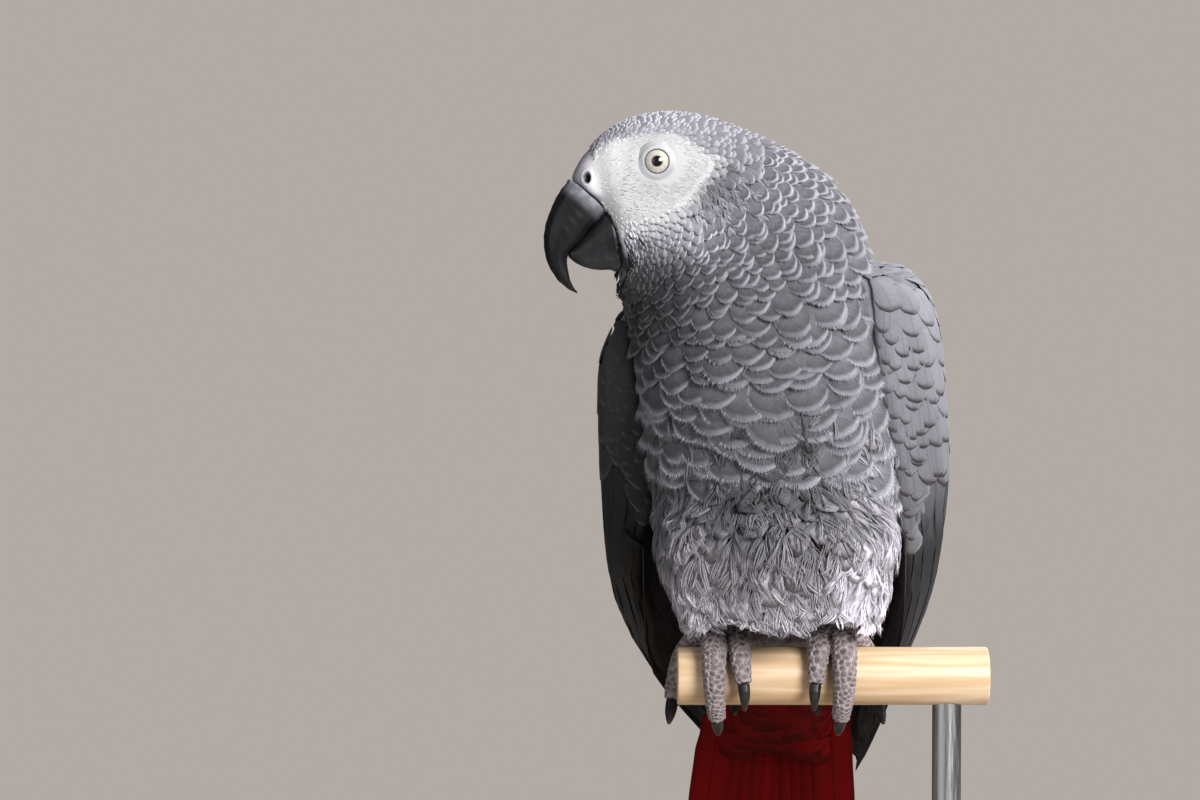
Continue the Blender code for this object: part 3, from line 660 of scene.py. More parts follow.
def add_barbs(shape, count, length, width, seed, first=0.5, spread=0.15, aspect=3.0):
    """Free barbs round a vane's edge: thin three-sided spikes.

    length and width are shares of the vane's half-width; aspect is its length over its half-width.
    """
    dice = np.random.default_rng(seed)
    start = len(shape["x"])
    along = np.linspace(-1, 1, count) + dice.uniform(-0.5, 0.5, count) * 2 / count
    edge_s = np.clip(along * 1.25, -1, 1)
    edge_t = np.where(np.abs(along) > 0.8, 1 - (np.abs(along) - 0.8) / 0.2 * (1 - first), 1.0)
    columns = len(np.unique(np.round(shape["s"], 6)))
    rows = start // columns
    place_i, place_j = edge_t * (rows - 1), (edge_s + 1) / 2 * (columns - 1)
    x, y = (read_cells(shape[key].reshape(rows, columns), place_i, place_j) for key in ("x", "y"))
    y = y * aspect
    away = unit(np.stack([x * 0.8, np.maximum(y - 0.35 * aspect, 0.1)], -1))
    turn = dice.uniform(-spread, spread, count)
    c, s = np.cos(turn), np.sin(turn)
    away = np.stack([away[:, 0] * c - away[:, 1] * s, away[:, 0] * s + away[:, 1] * c], -1)
    side = np.stack([away[:, 1], -away[:, 0]], -1)
    long = length * dice.uniform(0.5, 1.2, count)
    inner = np.stack([x, y], -1) - away * 0.1
    left, right = inner - side * width / 2, inner + side * width / 2
    tip = inner + away * (long + 0.1)[:, None]
    xy = np.stack([left, right, inner, tip], 1).reshape(-1, 2)
    xy[:, 1] /= aspect
    pattern = np.arange(count)[:, None] * 4 + start
    faces = []
    for a, b, c, d in (pattern + np.arange(4)).tolist():
        faces += [(b, a, d), (a, c, d), (c, b, d), (a, b, c)]
    shape["faces"] = shape["faces"] + faces
    shape["flat"] = shape["flat"] + [False] * len(faces)
    none = np.zeros(count * 4)
    added = (xy[:, 0], xy[:, 1], np.repeat(edge_t, 4), np.repeat(edge_s, 4), none,
             np.tile([0.0, 0.0, 0.6, 0.1], count), none)
    for key, values in zip(CORNER_VALUES, added):
        shape[key] = np.concatenate([shape[key], values])
    return shape


def tuft(strands, rings, fan, clumps, width, seed, bend=0.3, apart=0.5, spread=0.12):
    """A loose plume: thin three-sided strands leaving a short shaft, drawn together into curling locks."""
    dice = np.random.default_rng(seed)
    made = {key: [] for key in CORNER_VALUES}
    faces = []
    lock_aim = np.linspace(-1, 1, clumps) * fan + dice.uniform(-0.15, 0.15, clumps)
    lock_bend = dice.uniform(-bend, bend, clumps)
    lock_high = dice.uniform(0, 1, clumps)
    lock_reach = dice.uniform(0.75, 1.0, clumps)
    lock_leaves = dice.uniform(0, apart, clumps)
    u = np.linspace(0, 1, rings)
    start = 0
    for k in range(strands):
        lock = k * clumps // strands
        aim = lock_aim[lock]
        leaves = max(0.0, lock_leaves[lock] + dice.normal(0, 0.07)) * (1 - 0.5 * abs(aim))
        reach = lock_reach[lock] * dice.uniform(0.9, 1.0) * (1 - 0.22 * min(abs(aim), 1.2))
        y = leaves + (reach - leaves) * u
        x = aim * u ** 0.8 * (1 - 0.3 * leaves) + lock_bend[lock] * u ** 2
        x = x + dice.normal(0, spread) * np.sin(u * 3.1) ** 0.7 + dice.normal(0, spread * 0.25) * u
        high = (0.30 * lock_high[lock] + 0.06 * dice.uniform(-1, 1)) * np.sin(u * 2.7)
        thin = width * (1 - u) ** 0.4 * dice.uniform(0.8, 1.2)
        for i in range(rings):
            corners_here = ((0, 0.0),) if i == rings - 1 else ((-1, 0.0), (0, 1.0), (1, 0.0))
            for aside, body in corners_here:
                made["x"].append(x[i] + aside * thin[i])
                made["y"].append(y[i])
                made["t"].append(y[i])
                made["s"].append(0.5 * np.clip(aim, -1, 1))
                made["rise"].append(0.0)
                made["body"].append(body * (1 - u[i]))
                made["hang"].append(high[i])
        for i in range(rings - 2):
            a, b = start + 3 * i, start + 3 * i + 3
            for p, q in ((0, 1), (1, 2), (2, 0)):
                faces.append((a + p, a + q, b + q, b + p))
        end = start + 3 * (rings - 1)
        for p, q in ((0, 1), (1, 2), (2, 0)):
            faces.append((end - 3 + p, end - 3 + q, end))
        faces.append((start + 2, start + 1, start))
        start = end + 1
    made = {key: np.array(value) for key, value in made.items()}
    made["faces"], made["flat"] = faces, [False] * len(faces)
    return made


def frayed(seed):
    """A loose body feather: a short web whose edge has come apart into curling locks."""
    web = vane(5, 7, waist=0.35, shoulder=0.35, ripple=0.05, seed=seed)
    web["x"], web["y"] = web["x"] * 0.72, web["y"] * 0.80
    web["t"] = web["t"] * 0.80
    locks = tuft(30, 5, 0.9, 5, 0.036, seed, bend=0.45, apart=0.55, spread=0.09)
    start = len(web["x"])
    made = {key: np.concatenate([web[key], locks[key]]) for key in CORNER_VALUES}
    made["faces"] = web["faces"] + [tuple(start + v for v in face) for face in locks["faces"]]
    made["flat"] = web["flat"] + locks["flat"]
    return made


PATCH = 0.003  # how wide one feather is on the OFBake map, whose whole width is 1
UNWRAP = (0.01, 0.98)  # where the body's unwrap starts on that map, and its width


class Pile:
    """Feathers gathered into one mesh, with their colours and UV maps."""

    def __init__(self, name):
        self.name, self.count = name, 0
        self.points, self.tints, self.vane, self.barb, self.patch = [], [], [], [], []
        self.loops, self.sizes, self.flats = [], [], []

    def add(self, surface, shape, row, column, yaw, length, half_width, profile, tint, place, ground=None):
        """Lays one copy of a shape at each root. profile gives heights over the surface in millimetres."""
        many, each = len(row), len(shape["x"])
        if not many:
            return
        yaw, length, half_width = (np.broadcast_to(v, many) for v in (yaw, length, half_width))
        x = shape["x"][None] * half_width[:, None]
        y = shape["y"][None] * length[:, None]
        height = profile(shape, x)
        points = surface.lay(row, column, yaw, x, y, height)
        if ground:
            for i in np.ndindex(points.shape[:2]):
                spot, normal = ground.find_nearest(Vector(points[i]))[:2]
                points[i] = spot + normal * height[i]
        faces = [f if surface.turn > 0 else f[::-1] for f in shape["faces"]]
        sizes = np.array([len(f) for f in faces])
        flat = np.concatenate([np.array(f) for f in faces])
        starts = self.count + np.arange(many)[:, None] * each
        self.loops.append((starts + flat[None]).ravel())
        self.sizes.append(np.tile(sizes, many))
        self.flats.append(np.tile(np.array(shape["flat"]), many))
        self.points.append(points.reshape(-1, 3))
        self.tints.append(tint.reshape(-1, 3) if tint.ndim == 3 else np.repeat(tint, each, axis=0))
        vane_map = np.stack([0.5 + 0.5 * shape["s"], shape["t"]], -1)
        self.vane.append(np.tile(vane_map, (many, 1)))
        self.barb.append(np.stack([x, y], -1).reshape(-1, 2) / 100)
        spot = np.stack([0.5 * shape["s"], shape["t"] - 0.5], -1)[None] * PATCH
        self.patch.append((place[:, None] + spot).reshape(-1, 2))
        self.count += many * each

    def build(self, material, nodes=()):
        loops = np.concatenate(self.loops)
        mesh = mesh_of(self.name, np.concatenate(self.points), loops, np.concatenate(self.sizes))
        flats = mesh.attributes.new("sharp_face", "BOOLEAN", "FACE")
        flats.data.foreach_set("value", np.concatenate(self.flats))
        for label, grid in (("OFBake", self.patch), ("Vane", self.vane), ("Barb", self.barb)):
            layer = mesh.uv_layers.new(name=label)
            layer.data.foreach_set("uv", np.concatenate(grid)[loops].astype(np.float32).ravel())
        paint(mesh, np.concatenate(self.tints))
        finish_piece(self.name, mesh, material, nodes)


# ---------------------------------------------------------------- markings, and painted light and shade, the same on skin and coat

FACE_REACH = (  # how far the bare face reaches from the eye: degrees from straight back, millimetres
    (-26, 15.8), (0, 19.5), (10, 16), (29, 13), (50, 11.4), (88, 9.4), (134, 11.3), (160, 18), (180, 23),
    (208, 24.5), (228, 24.5), (242, 23.4), (256, 20.4), (273, 18.2), (295, 17), (315, 16), (334, 15.8),
)
EYES = {side: middle(f"eye_{side}") for side in ("left", "right")}
EYE_MIDDLE = (EYES["left"] + EYES["right"]) / 2
PERCH_MIDDLE = middle("perch")
PERCH_LINE = np.array((0.0, PERCH_MIDDLE[1], PERCH_MIDDLE[2]))
FRONT_GREY = ((0, 0.42), (0.35, 0.44), (0.7, 0.36), (1.0, 0.28), (1.4, 0.215), (1.8, 0.19), (2.2, 0.20),
              (2.6, 0.24), (3.0, 0.36), (3.5, 0.46), (4.2, 0.46))
BACK_GREY = ((0, 0.42), (0.5, 0.40), (1.0, 0.29), (1.5, 0.23), (2.0, 0.19), (2.8, 0.19), (3.3, 0.27),
             (3.8, 0.42), (4.2, 0.42))
TAIL_RED = np.array((0.135, 0.0015, 0.003))
FACE_WHITE = np.array((0.59, 0.585, 0.60))
CHARCOAL = np.array((0.030, 0.028, 0.032))
HORN = np.array((0.009, 0.009, 0.0105))
POWDER = np.array((0.26, 0.27, 0.31))
SCALE_GAP = np.array((0.40, 0.35, 0.36))
SCALE_BROWN = np.array((0.13, 0.095, 0.095))
THROAT_PAINTED_SHADE = 0.22  # how bright the throat is painted, as a share of the head's: painted shade under the head
LOWER_BILL = tree("lower_bill")


def from_eye(points):
    """How far behind and above the eyes places lie."""
    return points[..., 0] - EYE_MIDDLE[0], points[..., 2] - EYE_MIDDLE[2]


def face_share(points):
    """How far out a place lies on the bare face: 0 at the eye, 1 at its edge."""
    x, z = from_eye(points)
    angle = np.degrees(np.arctan2(z, x))
    angle = np.where(angle < -26, angle + 360, angle)
    degrees, reach = zip(*FACE_REACH)
    return np.hypot(x, z) / np.interp(angle, degrees, reach)


def grey(value):
    """A slightly violet grey."""
    return np.asarray(value, float)[..., None] * np.array((1.0, 0.985, 1.13))


def blend(colors, others, share):
    return colors + (others - colors) * np.asarray(share)[..., None]


def ear_share(points):
    """1 in the middle of the smoky patch behind and below the bare face."""
    x, z = from_eye(points)
    return np.exp(-((x - 18.5) / 9.5) ** 2 - ((z + 10.0) / 7.5) ** 2)


def body_color(points, row, angle):
    """The plumage's colour at places on the body, given with their spine row and angle, with painted shade on
    the throat and along the lower bill and painted light on the face's front.
    """
    back = smooth_step(-0.2, 0.9, np.sin(angle)) * smooth_step(at(1.2), at(2.0), row)
    value = by_place(row, FRONT_GREY) * (1 - back) + by_place(row, BACK_GREY) * back
    # painted shade: the throat under the head is painted darker
    throat = smooth_step(0.2, 0.95, -np.cos(angle)) * smooth_step(at(0.1), at(0.5), row)
    throat = throat * (1 - smooth_step(at(1.3), at(2.2), row))
    color = grey(value * (1 - (1 - THROAT_PAINTED_SHADE) * throat))
    share = face_share(points)
    x, z = from_eye(points)
    ear = ear_share(points)
    cheek = np.exp(-((x + 2.0) / 17.0) ** 2 - ((z + 26.0) / 7.0) ** 2)
    on_head = 1 - smooth_step(at(1.0), at(1.4), row)
    color = color * (1 - (0.50 * ear - 1.85 * cheek) * on_head)[..., None]
    behind = smooth_step(6.0, 14.0, x) * smooth_step(6.0, -2.0, z)
    soft = 1.16 + 0.26 * np.maximum(smooth_step(-8.0, -18.0, z), behind)
    white = (1 - smooth_step(0.92, 1.0, 0.92 + (share - 0.92) * 0.08 / (soft - 0.92))) * on_head
    # painted light: the white face is painted brighter towards the bill and below the eye, where it turns
    # away from the key lamp
    front = 1 + 0.62 * smooth_step(-2.0, -17.0, x) + 0.20 * smooth_step(-8.0, -16.0, z)
    color = blend(color, FACE_WHITE * front[..., None], white)
    # painted shadow: feathers along the lower bill's rear edge are painted near black, as the crease there is
    # in shade
    flat_row = np.broadcast_to(row, points.shape[:-1]).ravel()
    gap = np.full(flat_row.shape, 9.0)
    for k in np.flatnonzero(flat_row < at(0.45)):
        gap[k] = LOWER_BILL.find_nearest(Vector(points.reshape(-1, 3)[k]))[3]
    color = blend(color, CHARCOAL * 0.6, 1 - smooth_step(1.0, 3.4, gap.reshape(points.shape[:-1])))
    red = smooth_step(at(3.72), at(3.9), row)
    return blend(color, TAIL_RED, red)


# ---------------------------------------------------------------- materials


def new_look(name):
    """A new material, its node tree and its shader."""
    material = bpy.data.materials.new(name)
    material.use_nodes = True
    return material, material.node_tree, material.node_tree.nodes["Principled BSDF"]


def add(tree, kind, *links, **values):
    """A node, with values for its properties and inputs, and links or numbers for its first inputs."""
    node = tree.nodes.new(kind)
    for key, value in values.items():
        if hasattr(node, key):
            setattr(node, key, value)
        else:
            node.inputs[key.replace("_", " ")].default_value = value
    for k, source in enumerate(links):
        if isinstance(source, (int, float)):
            node.inputs[k].default_value = source
        else:
            tree.links.new(source, node.inputs[k])
    return node


def math_node(tree, operation, *values, clamp=False):
    return add(tree, "ShaderNodeMath", *values, operation=operation, use_clamp=clamp).outputs[0]


def noise(tree, place, scale, detail):
    return add(tree, "ShaderNodeTexNoise", place, Scale=scale, Detail=detail).outputs[0]


def spanned(tree, value, low, high, start=0.3, end=0.7):
    """A noise or other value carried from one span to another."""
    return add(tree, "ShaderNodeMapRange", value, start, end, low, high).outputs[0]


def ramp_step(tree, value, low, high):
    return add(tree, "ShaderNodeMapRange", value, low, high, interpolation_type="SMOOTHSTEP").outputs[0]


def object_place(tree, scale=None, rotation=(0.0, 0.0, 0.0)):
    """The piece's own coordinates, stretched and turned if a scale is given."""
    place = add(tree, "ShaderNodeTexCoord").outputs["Object"]
    if scale is None:
        return place
    turned = add(tree, "ShaderNodeMapping", place)
    turned.inputs["Scale"].default_value = scale
    turned.inputs["Rotation"].default_value = rotation
    return turned.outputs[0]


def color_by_tint(tree, shader, shade):
    """Makes the piece's own colour, times a shade, the base colour, and gives back the colour."""
    tint = add(tree, "ShaderNodeAttribute", attribute_name="tint").outputs["Color"]
    color = add(tree, "ShaderNodeVectorMath", tint, operation="SCALE")
    tree.links.new(shade, color.inputs["Scale"])
    tree.links.new(color.outputs[0], shader.inputs["Base Color"])
    return tint


def raise_by(tree, shader, height, strength, distance):
    """Lets a height, up to a distance in metres, stand out in the shading."""
    relief = add(tree, "ShaderNodeBump", Strength=strength, Distance=distance)
    tree.links.new(height, relief.inputs["Height"])
    tree.links.new(relief.outputs[0], shader.inputs["Normal"])


def mixed_color(tree, share, first, second):
    """The colour a share of the way from one colour to another."""
    mix = add(tree, "ShaderNodeMix", share, data_type="RGBA")
    mix.inputs[6].default_value = (*first, 1)
    mix.inputs[7].default_value = (*second, 1)
    return mix.outputs[2]


def set_inputs(node, **values):
    """Sets a node's inputs, whose names are given with underscores for spaces."""
    for key, value in values.items():
        node.inputs[key.replace("_", " ")].default_value = value


def vane_group():
    """Shade and height over a feather: a soft pale edge, a dark shaft and fine barbs."""
    group = bpy.data.node_groups.new("vane_marks", "ShaderNodeTree")
    for name in ("Edge Width", "Edge Gain", "Centre", "Shaft", "Barb Pitch", "Barb Contrast"):
        group.interface.new_socket(name, in_out="INPUT", socket_type="NodeSocketFloat")
    for name in ("Shade", "Height"):
        group.interface.new_socket(name, in_out="OUTPUT", socket_type="NodeSocketFloat")
    start = group.nodes.new("NodeGroupInput").outputs
    end = group.nodes.new("NodeGroupOutput").inputs

    def calc(operation, *values):
        return math_node(group, operation, *values)

    place = add(group, "ShaderNodeUVMap", uv_map="Vane")
    split = add(group, "ShaderNodeSeparateXYZ", place.outputs[0]).outputs
    across = calc("ABSOLUTE", calc("MULTIPLY_ADD", split[0], 2.0, -1.0))
    outer = calc("MAXIMUM", across, split[1])
    inner = calc("SUBTRACT", 1.0, start["Edge Width"])
    end_rim = ramp_step(group, split[1], inner, 0.985)
    rim = calc("MAXIMUM", end_rim, ramp_step(group, across, 0.62, 0.93))
    barb_map = add(group, "ShaderNodeUVMap", uv_map="Barb")
    flat = add(group, "ShaderNodeSeparateXYZ", barb_map.outputs[0]).outputs
    aside = calc("ABSOLUTE", flat[0])
    phase = calc("SUBTRACT", flat[1], calc("MULTIPLY", aside, 0.9))
    scaled = calc("DIVIDE", calc("MULTIPLY", phase, 100.0), start["Barb Pitch"])
    place_3d = add(group, "ShaderNodeCombineXYZ", scaled, calc("MULTIPLY", flat[0], 12.0),
                   calc("MULTIPLY", flat[1], 4.0))
    fine = calc("SUBTRACT", noise(group, place_3d.outputs[0], 1.0, 2.5), 0.5)
    shaft = calc("SUBTRACT", 1.0, ramp_step(group, across, 0.01, 0.09))
    middle_shade = calc("MULTIPLY_ADD", start["Centre"], 0.6, 0.4)
    centre = add(group, "ShaderNodeMapRange", outer, 0.60, 0.84, middle_shade, start["Centre"],
                 interpolation_type="SMOOTHSTEP").outputs[0]
    shade = calc("MULTIPLY_ADD", rim, start["Edge Gain"], centre)
    barbs = calc("MULTIPLY", fine, start["Barb Contrast"])
    shade = calc("ADD", shade, calc("MULTIPLY", barbs, 2.0))
    shade = calc("SUBTRACT", shade, calc("MULTIPLY", shaft, start["Shaft"]))
    group.links.new(calc("MAXIMUM", shade, 0.05), end["Shade"])
    group.links.new(calc("ADD", fine, calc("MULTIPLY", shaft, 0.6)), end["Height"])
    return group


VANE_MARKS = vane_group()


def feather_look(name, edge_width, edge_gain, centre, shaft, pitch, contrast, rough=0.75, sheen=0.15,
                 bump=0.35):
    """Feathers with a pale edge, a centre and shaft shaded by themselves, and barbs a pitch apart."""
    material, nodes, shader = new_look(name)
    marks = add(nodes, "ShaderNodeGroup", node_tree=VANE_MARKS)
    set_inputs(marks, Edge_Width=edge_width, Edge_Gain=edge_gain, Centre=centre, Shaft=shaft,
               Barb_Pitch=pitch, Barb_Contrast=contrast)
    color_by_tint(nodes, shader, marks.outputs["Shade"])
    raise_by(nodes, shader, marks.outputs["Height"], bump, 0.0002)
    set_inputs(shader, Roughness=rough, Specular_IOR_Level=0.25 if sheen else 0.08, Sheen_Weight=sheen)
    return material


FEATHER_LOOKS = {  # what feather_look is given, in its order
    "coat_head": ("head_feathers", 0.22, 0.9, 0.62, 0.0, 0.5, 0.1),
    "coat_neck": ("neck_feathers", 0.16, 1.95, 0.43, 0.03, 0.6, 0.22),
    "coat_breast": ("breast_feathers", 0.15, 1.75, 0.44, 0.03, 0.7, 0.25),
    "coat_back": ("back_feathers", 0.14, 0.3, 0.85, 0.08, 0.7, 0.18),
    "coat_belly": ("belly_feathers", 0.3, 0.25, 0.8, 0.0, 0.9, 0.3),
    "coat_tail_coverts": ("tail_coverts", 0.10, 0.0, 0.9, 0.1, 0.9, 0.14, 0.7, 0.0),
    "coat_brow": ("brow_feathers", 0.22, 0.15, 0.90, 0.0, 0.5, 0.08),
    "coat_ears": ("ear_feathers", 0.14, 0.0, 1.0, 0.0, 0.9, 0.1),
    "curtain": ("belly_tufts", 0.14, 0.3, 0.8, 0.0, 0.8, 0.5),
    "face": ("face_down", 0.14, 0.0, 1.0, 0.0, 0.9, 0.05),
    "chin": ("chin_bristles", 0.14, 0.0, 1.0, 0.0, 0.9, 0.0, 0.5),
    "coverts": ("wing_coverts", 0.14, 0.12, 0.90, 0.12, 0.7, 0.10, 0.6),
    "flight": ("flight_feathers", 0.10, 0.25, 0.9, 0.3, 0.7, 0.12, 0.5, 0.05),
    "tail": ("tail_feathers", 0.10, -0.25, 0.95, 0.35, 0.8, 0.14, 0.7, 0.0),
    "scales": ("foot_scales", 0.14, 0.0, 1.0, 0.0, 0.9, 0.0, 0.55, 0.0, 0.1),
}


def skin_look():
    material, nodes, shader = new_look("skin")
    patches = noise(nodes, object_place(nodes), 150.0, 3.0)
    color_by_tint(nodes, shader, spanned(nodes, patches, 0.94, 1.04))
    grain = noise(nodes, object_place(nodes, (0.35, 1.0, 1.0), (0.0, 0.5, 0.0)), 1500.0, 3.0)
    raise_by(nodes, shader, grain, 0.55, 0.0003)
    set_inputs(shader, Roughness=0.7, Specular_IOR_Level=0.3)
    return material


def horn_look():
    material, nodes, shader = new_look("horn")
    grain = noise(nodes, object_place(nodes), 260.0, 4.0)
    tint = color_by_tint(nodes, shader, spanned(nodes, grain, 0.7, 1.5))
    pale = add(nodes, "ShaderNodeSeparateColor", tint).outputs[0]
    nodes.links.new(spanned(nodes, pale, 0.40, 0.62, 0.01, 0.15), shader.inputs["Roughness"])
    raise_by(nodes, shader, grain, 0.15, 0.0003)
    set_inputs(shader, Specular_IOR_Level=0.38)
    return material


def eye_look():
    material, nodes, shader = new_look("eye_gloss")
    flecks = noise(nodes, object_place(nodes), 900.0, 3.0)
    color_by_tint(nodes, shader, spanned(nodes, flecks, 0.88, 1.10))
    set_inputs(shader, Roughness=0.12, Coat_Weight=1.0, Coat_Roughness=0.02)
    return material


def wood_look(name, pale, dark, ring_size, scale_x):
    """Straight-grained wood, its grain along X."""
    material, nodes, shader = new_look(name)
    turned = object_place(nodes, (scale_x, 1.0, 1.0), (0.35, 0.0, 0.0))
    broad, fine = noise(nodes, turned, ring_size, 2.0), noise(nodes, turned, ring_size * 9, 4.0)
    rings = math_node(nodes, "SINE", math_node(nodes, "MULTIPLY", broad, 55.0))
    share = math_node(nodes, "MULTIPLY_ADD", rings, 0.22, 0.45)
    share = math_node(nodes, "ADD", share, math_node(nodes, "MULTIPLY_ADD", fine, 0.5, -0.25), clamp=True)
    nodes.links.new(mixed_color(nodes, share, pale, dark), shader.inputs["Base Color"])
    raise_by(nodes, shader, fine, 0.15, 0.0002)
    set_inputs(shader, Roughness=0.45)
    return material


def steel_look():
    material, nodes, shader = new_look("brushed_steel")
    brush = noise(nodes, object_place(nodes, (1.0, 1.0, 0.05)), 1600.0, 2.0)
    nodes.links.new(spanned(nodes, brush, 0.25, 0.42), shader.inputs["Roughness"])
    tone = spanned(nodes, brush, 0.48, 0.60)
    even = add(nodes, "ShaderNodeCombineColor", tone, tone, tone)
    nodes.links.new(even.outputs[0], shader.inputs["Base Color"])
    set_inputs(shader, Metallic=1.0)
    return material


# ---------------------------------------------------------------- sowing feathers in staggered rows

VISIBLE = ((0, 1.0), (0.25, 1.35), (0.5, 1.7), (0.8, 2.2), (1.0, 2.9), (1.3, 4.3), (1.6, 5.6), (2.0, 6.8),
           (2.5, 7.6), (3.0, 7.4), (3.5, 8.5), (3.9, 11.0), (5.0, 14.0))
WIDE = ((0, 1.15), (1, 1.25), (1.4, 1.5), (2, 1.95), (2.4, 1.9), (2.7, 1.5), (3, 1.25), (4, 1.2))
STAND = ((0, 0.15), (0.6, 0.35), (1.0, 0.9), (1.3, 1.6), (1.8, 2.1), (2.4, 2.0), (3.0, 1.4), (3.7, 0.1),
         (4.05, -0.9), (4.6, -1.5))
DEPTH = ((0, 0.3), (0.5, 0.8), (1.0, 1.6), (1.5, 2.6), (2.0, 3.4), (3.0, 4.2), (3.7, 2.4), (4.2, 1.6),
         (5.0, 1.0))


def sow(surface, visible, spacing, first, closed):
    """Roots in rows whose distance apart is visible, spacing apart along each row."""
    rows, columns = surface.points.shape[:2]
    stretch = (surface.along / surface.along.mean()) ** 0.35
    count = np.cumsum(surface.along / (visible * stretch), axis=0)
    roots = []
    edge = np.arange(columns + 1 if closed else columns)
    for k in range(int(count.max())):
        level = k + first
        row = np.array([np.interp(level, count[:, j % columns], np.arange(rows), right=np.nan)
                        for j in edge])
        row[level < count[0, edge % columns]] = np.nan
        good = ~np.isnan(row)
        if good.sum() < 3:
            continue
        safe = np.where(good, row, 0)
        line = surface.read(surface.points, safe, edge.astype(float))
        gap = np.linalg.norm(np.diff(line, axis=0), axis=1)
        gap = gap * good[1:] * good[:-1]
        step = surface.read(spacing, safe, edge.astype(float))
        many = np.concatenate([[0], np.cumsum(gap / ((step[1:] + step[:-1]) / 2))])
        number = int(many[-1])
        if number < 1:
            continue
        wanted = (np.arange(number) + (0.25 if k % 2 else 0.75)) / number * many[-1]
        wanted = wanted + DICE.uniform(-0.12, 0.12, number)
        column = np.interp(wanted, many, edge)
        roots.append(np.stack([np.interp(column, edge, safe), column], -1))
    roots = np.concatenate(roots)
    return roots[:, 0], roots[:, 1]


def under_wing(row, column):
    """True where a body feather would be hidden by a folded wing."""
    hidden = np.zeros(len(row), bool)
    points = BODY_SURFACE.read(BODY_SURFACE.points, row, column)
    away = unit(points - resampled(row, np.arange(SPINE_ROWS), SPINE))
    for side, names in WINGS.items():
        target = tree(*names)
        low = WING_SURFACES[side].spine_rows[0] + WING_LEAD + 7
        for i in np.flatnonzero((row > low) & (row < at(4.6))):
            aside = Vector(np.cross(away[i], (0, 0, 1)))
            hits = [target.ray_cast(Vector(points[i] - away[i] * 4) + aside * s, Vector(away[i]), 40.0)[0]
                    for s in (-6.0, 0.0, 6.0)]
            hidden[i] |= all(h is not None for h in hits)
    return hidden


def body_roots():
    """Roots of all body feathers, with the size that each place calls for."""
    grid_rows = np.repeat(np.arange(SPINE_ROWS)[:, None], AROUND, 1).astype(float)
    visible = by_place(grid_rows, VISIBLE)
    spacing = visible * by_place(grid_rows, WIDE)
    row, column = sow(BODY_SURFACE, visible, spacing, 0.6, True)
    row = row + DICE.normal(0, 0.16, len(row)) * by_place(row, VISIBLE) / ROW_LENGTH
    good = (place_at(row) > 0.02) & (place_at(row) < 4.12)
    row, column = row[good], column[good]
    good = ~under_wing(row, column)
    row, column = row[good], column[good]
    tip_row = row + by_place(row, VISIBLE) * 1.6 / ROW_LENGTH
    points = BODY_SURFACE.read(BODY_SURFACE.points, row, column)
    tips = BODY_SURFACE.read(BODY_SURFACE.points, tip_row, column)
    bare = (place_at(row) < 1.2) & (face_share(tips) < DICE.uniform(0.88, 1.05, len(row)))
    feet = np.hypot(tips[:, 1] - PERCH_MIDDLE[1], tips[:, 2] - PERCH_MIDDLE[2]) < 17
    good = ~(bare | feet)
    return row[good], column[good], points[good]


def lying(depth, rise, roll, thickness, camber):
    """Heights of a feather that lies shallowly: its root sunk, its tip at the surface."""
    depth, rise, roll, thickness, camber = (
        np.reshape(v, (-1, 1)) for v in (depth, rise, roll, thickness, camber))

    def profile(shape, x):
        t = np.clip(shape["y"], 0, 1.2)[None]
        return (-depth * (1 - t ** 0.8) + rise * t ** 3 + roll * x + thickness * shape["body"][None]
                - camber * x * x + shape["rise"][None] + shape["hang"][None] * x.max(1)[:, None])
    return profile


def bake_place(row, column):
    """A root's place on the unwrap of the skin: round the body, and along it."""
    return UNWRAP[0] + UNWRAP[1] * np.stack([(column % AROUND) / AROUND, row / SPINE_ROWS], -1)


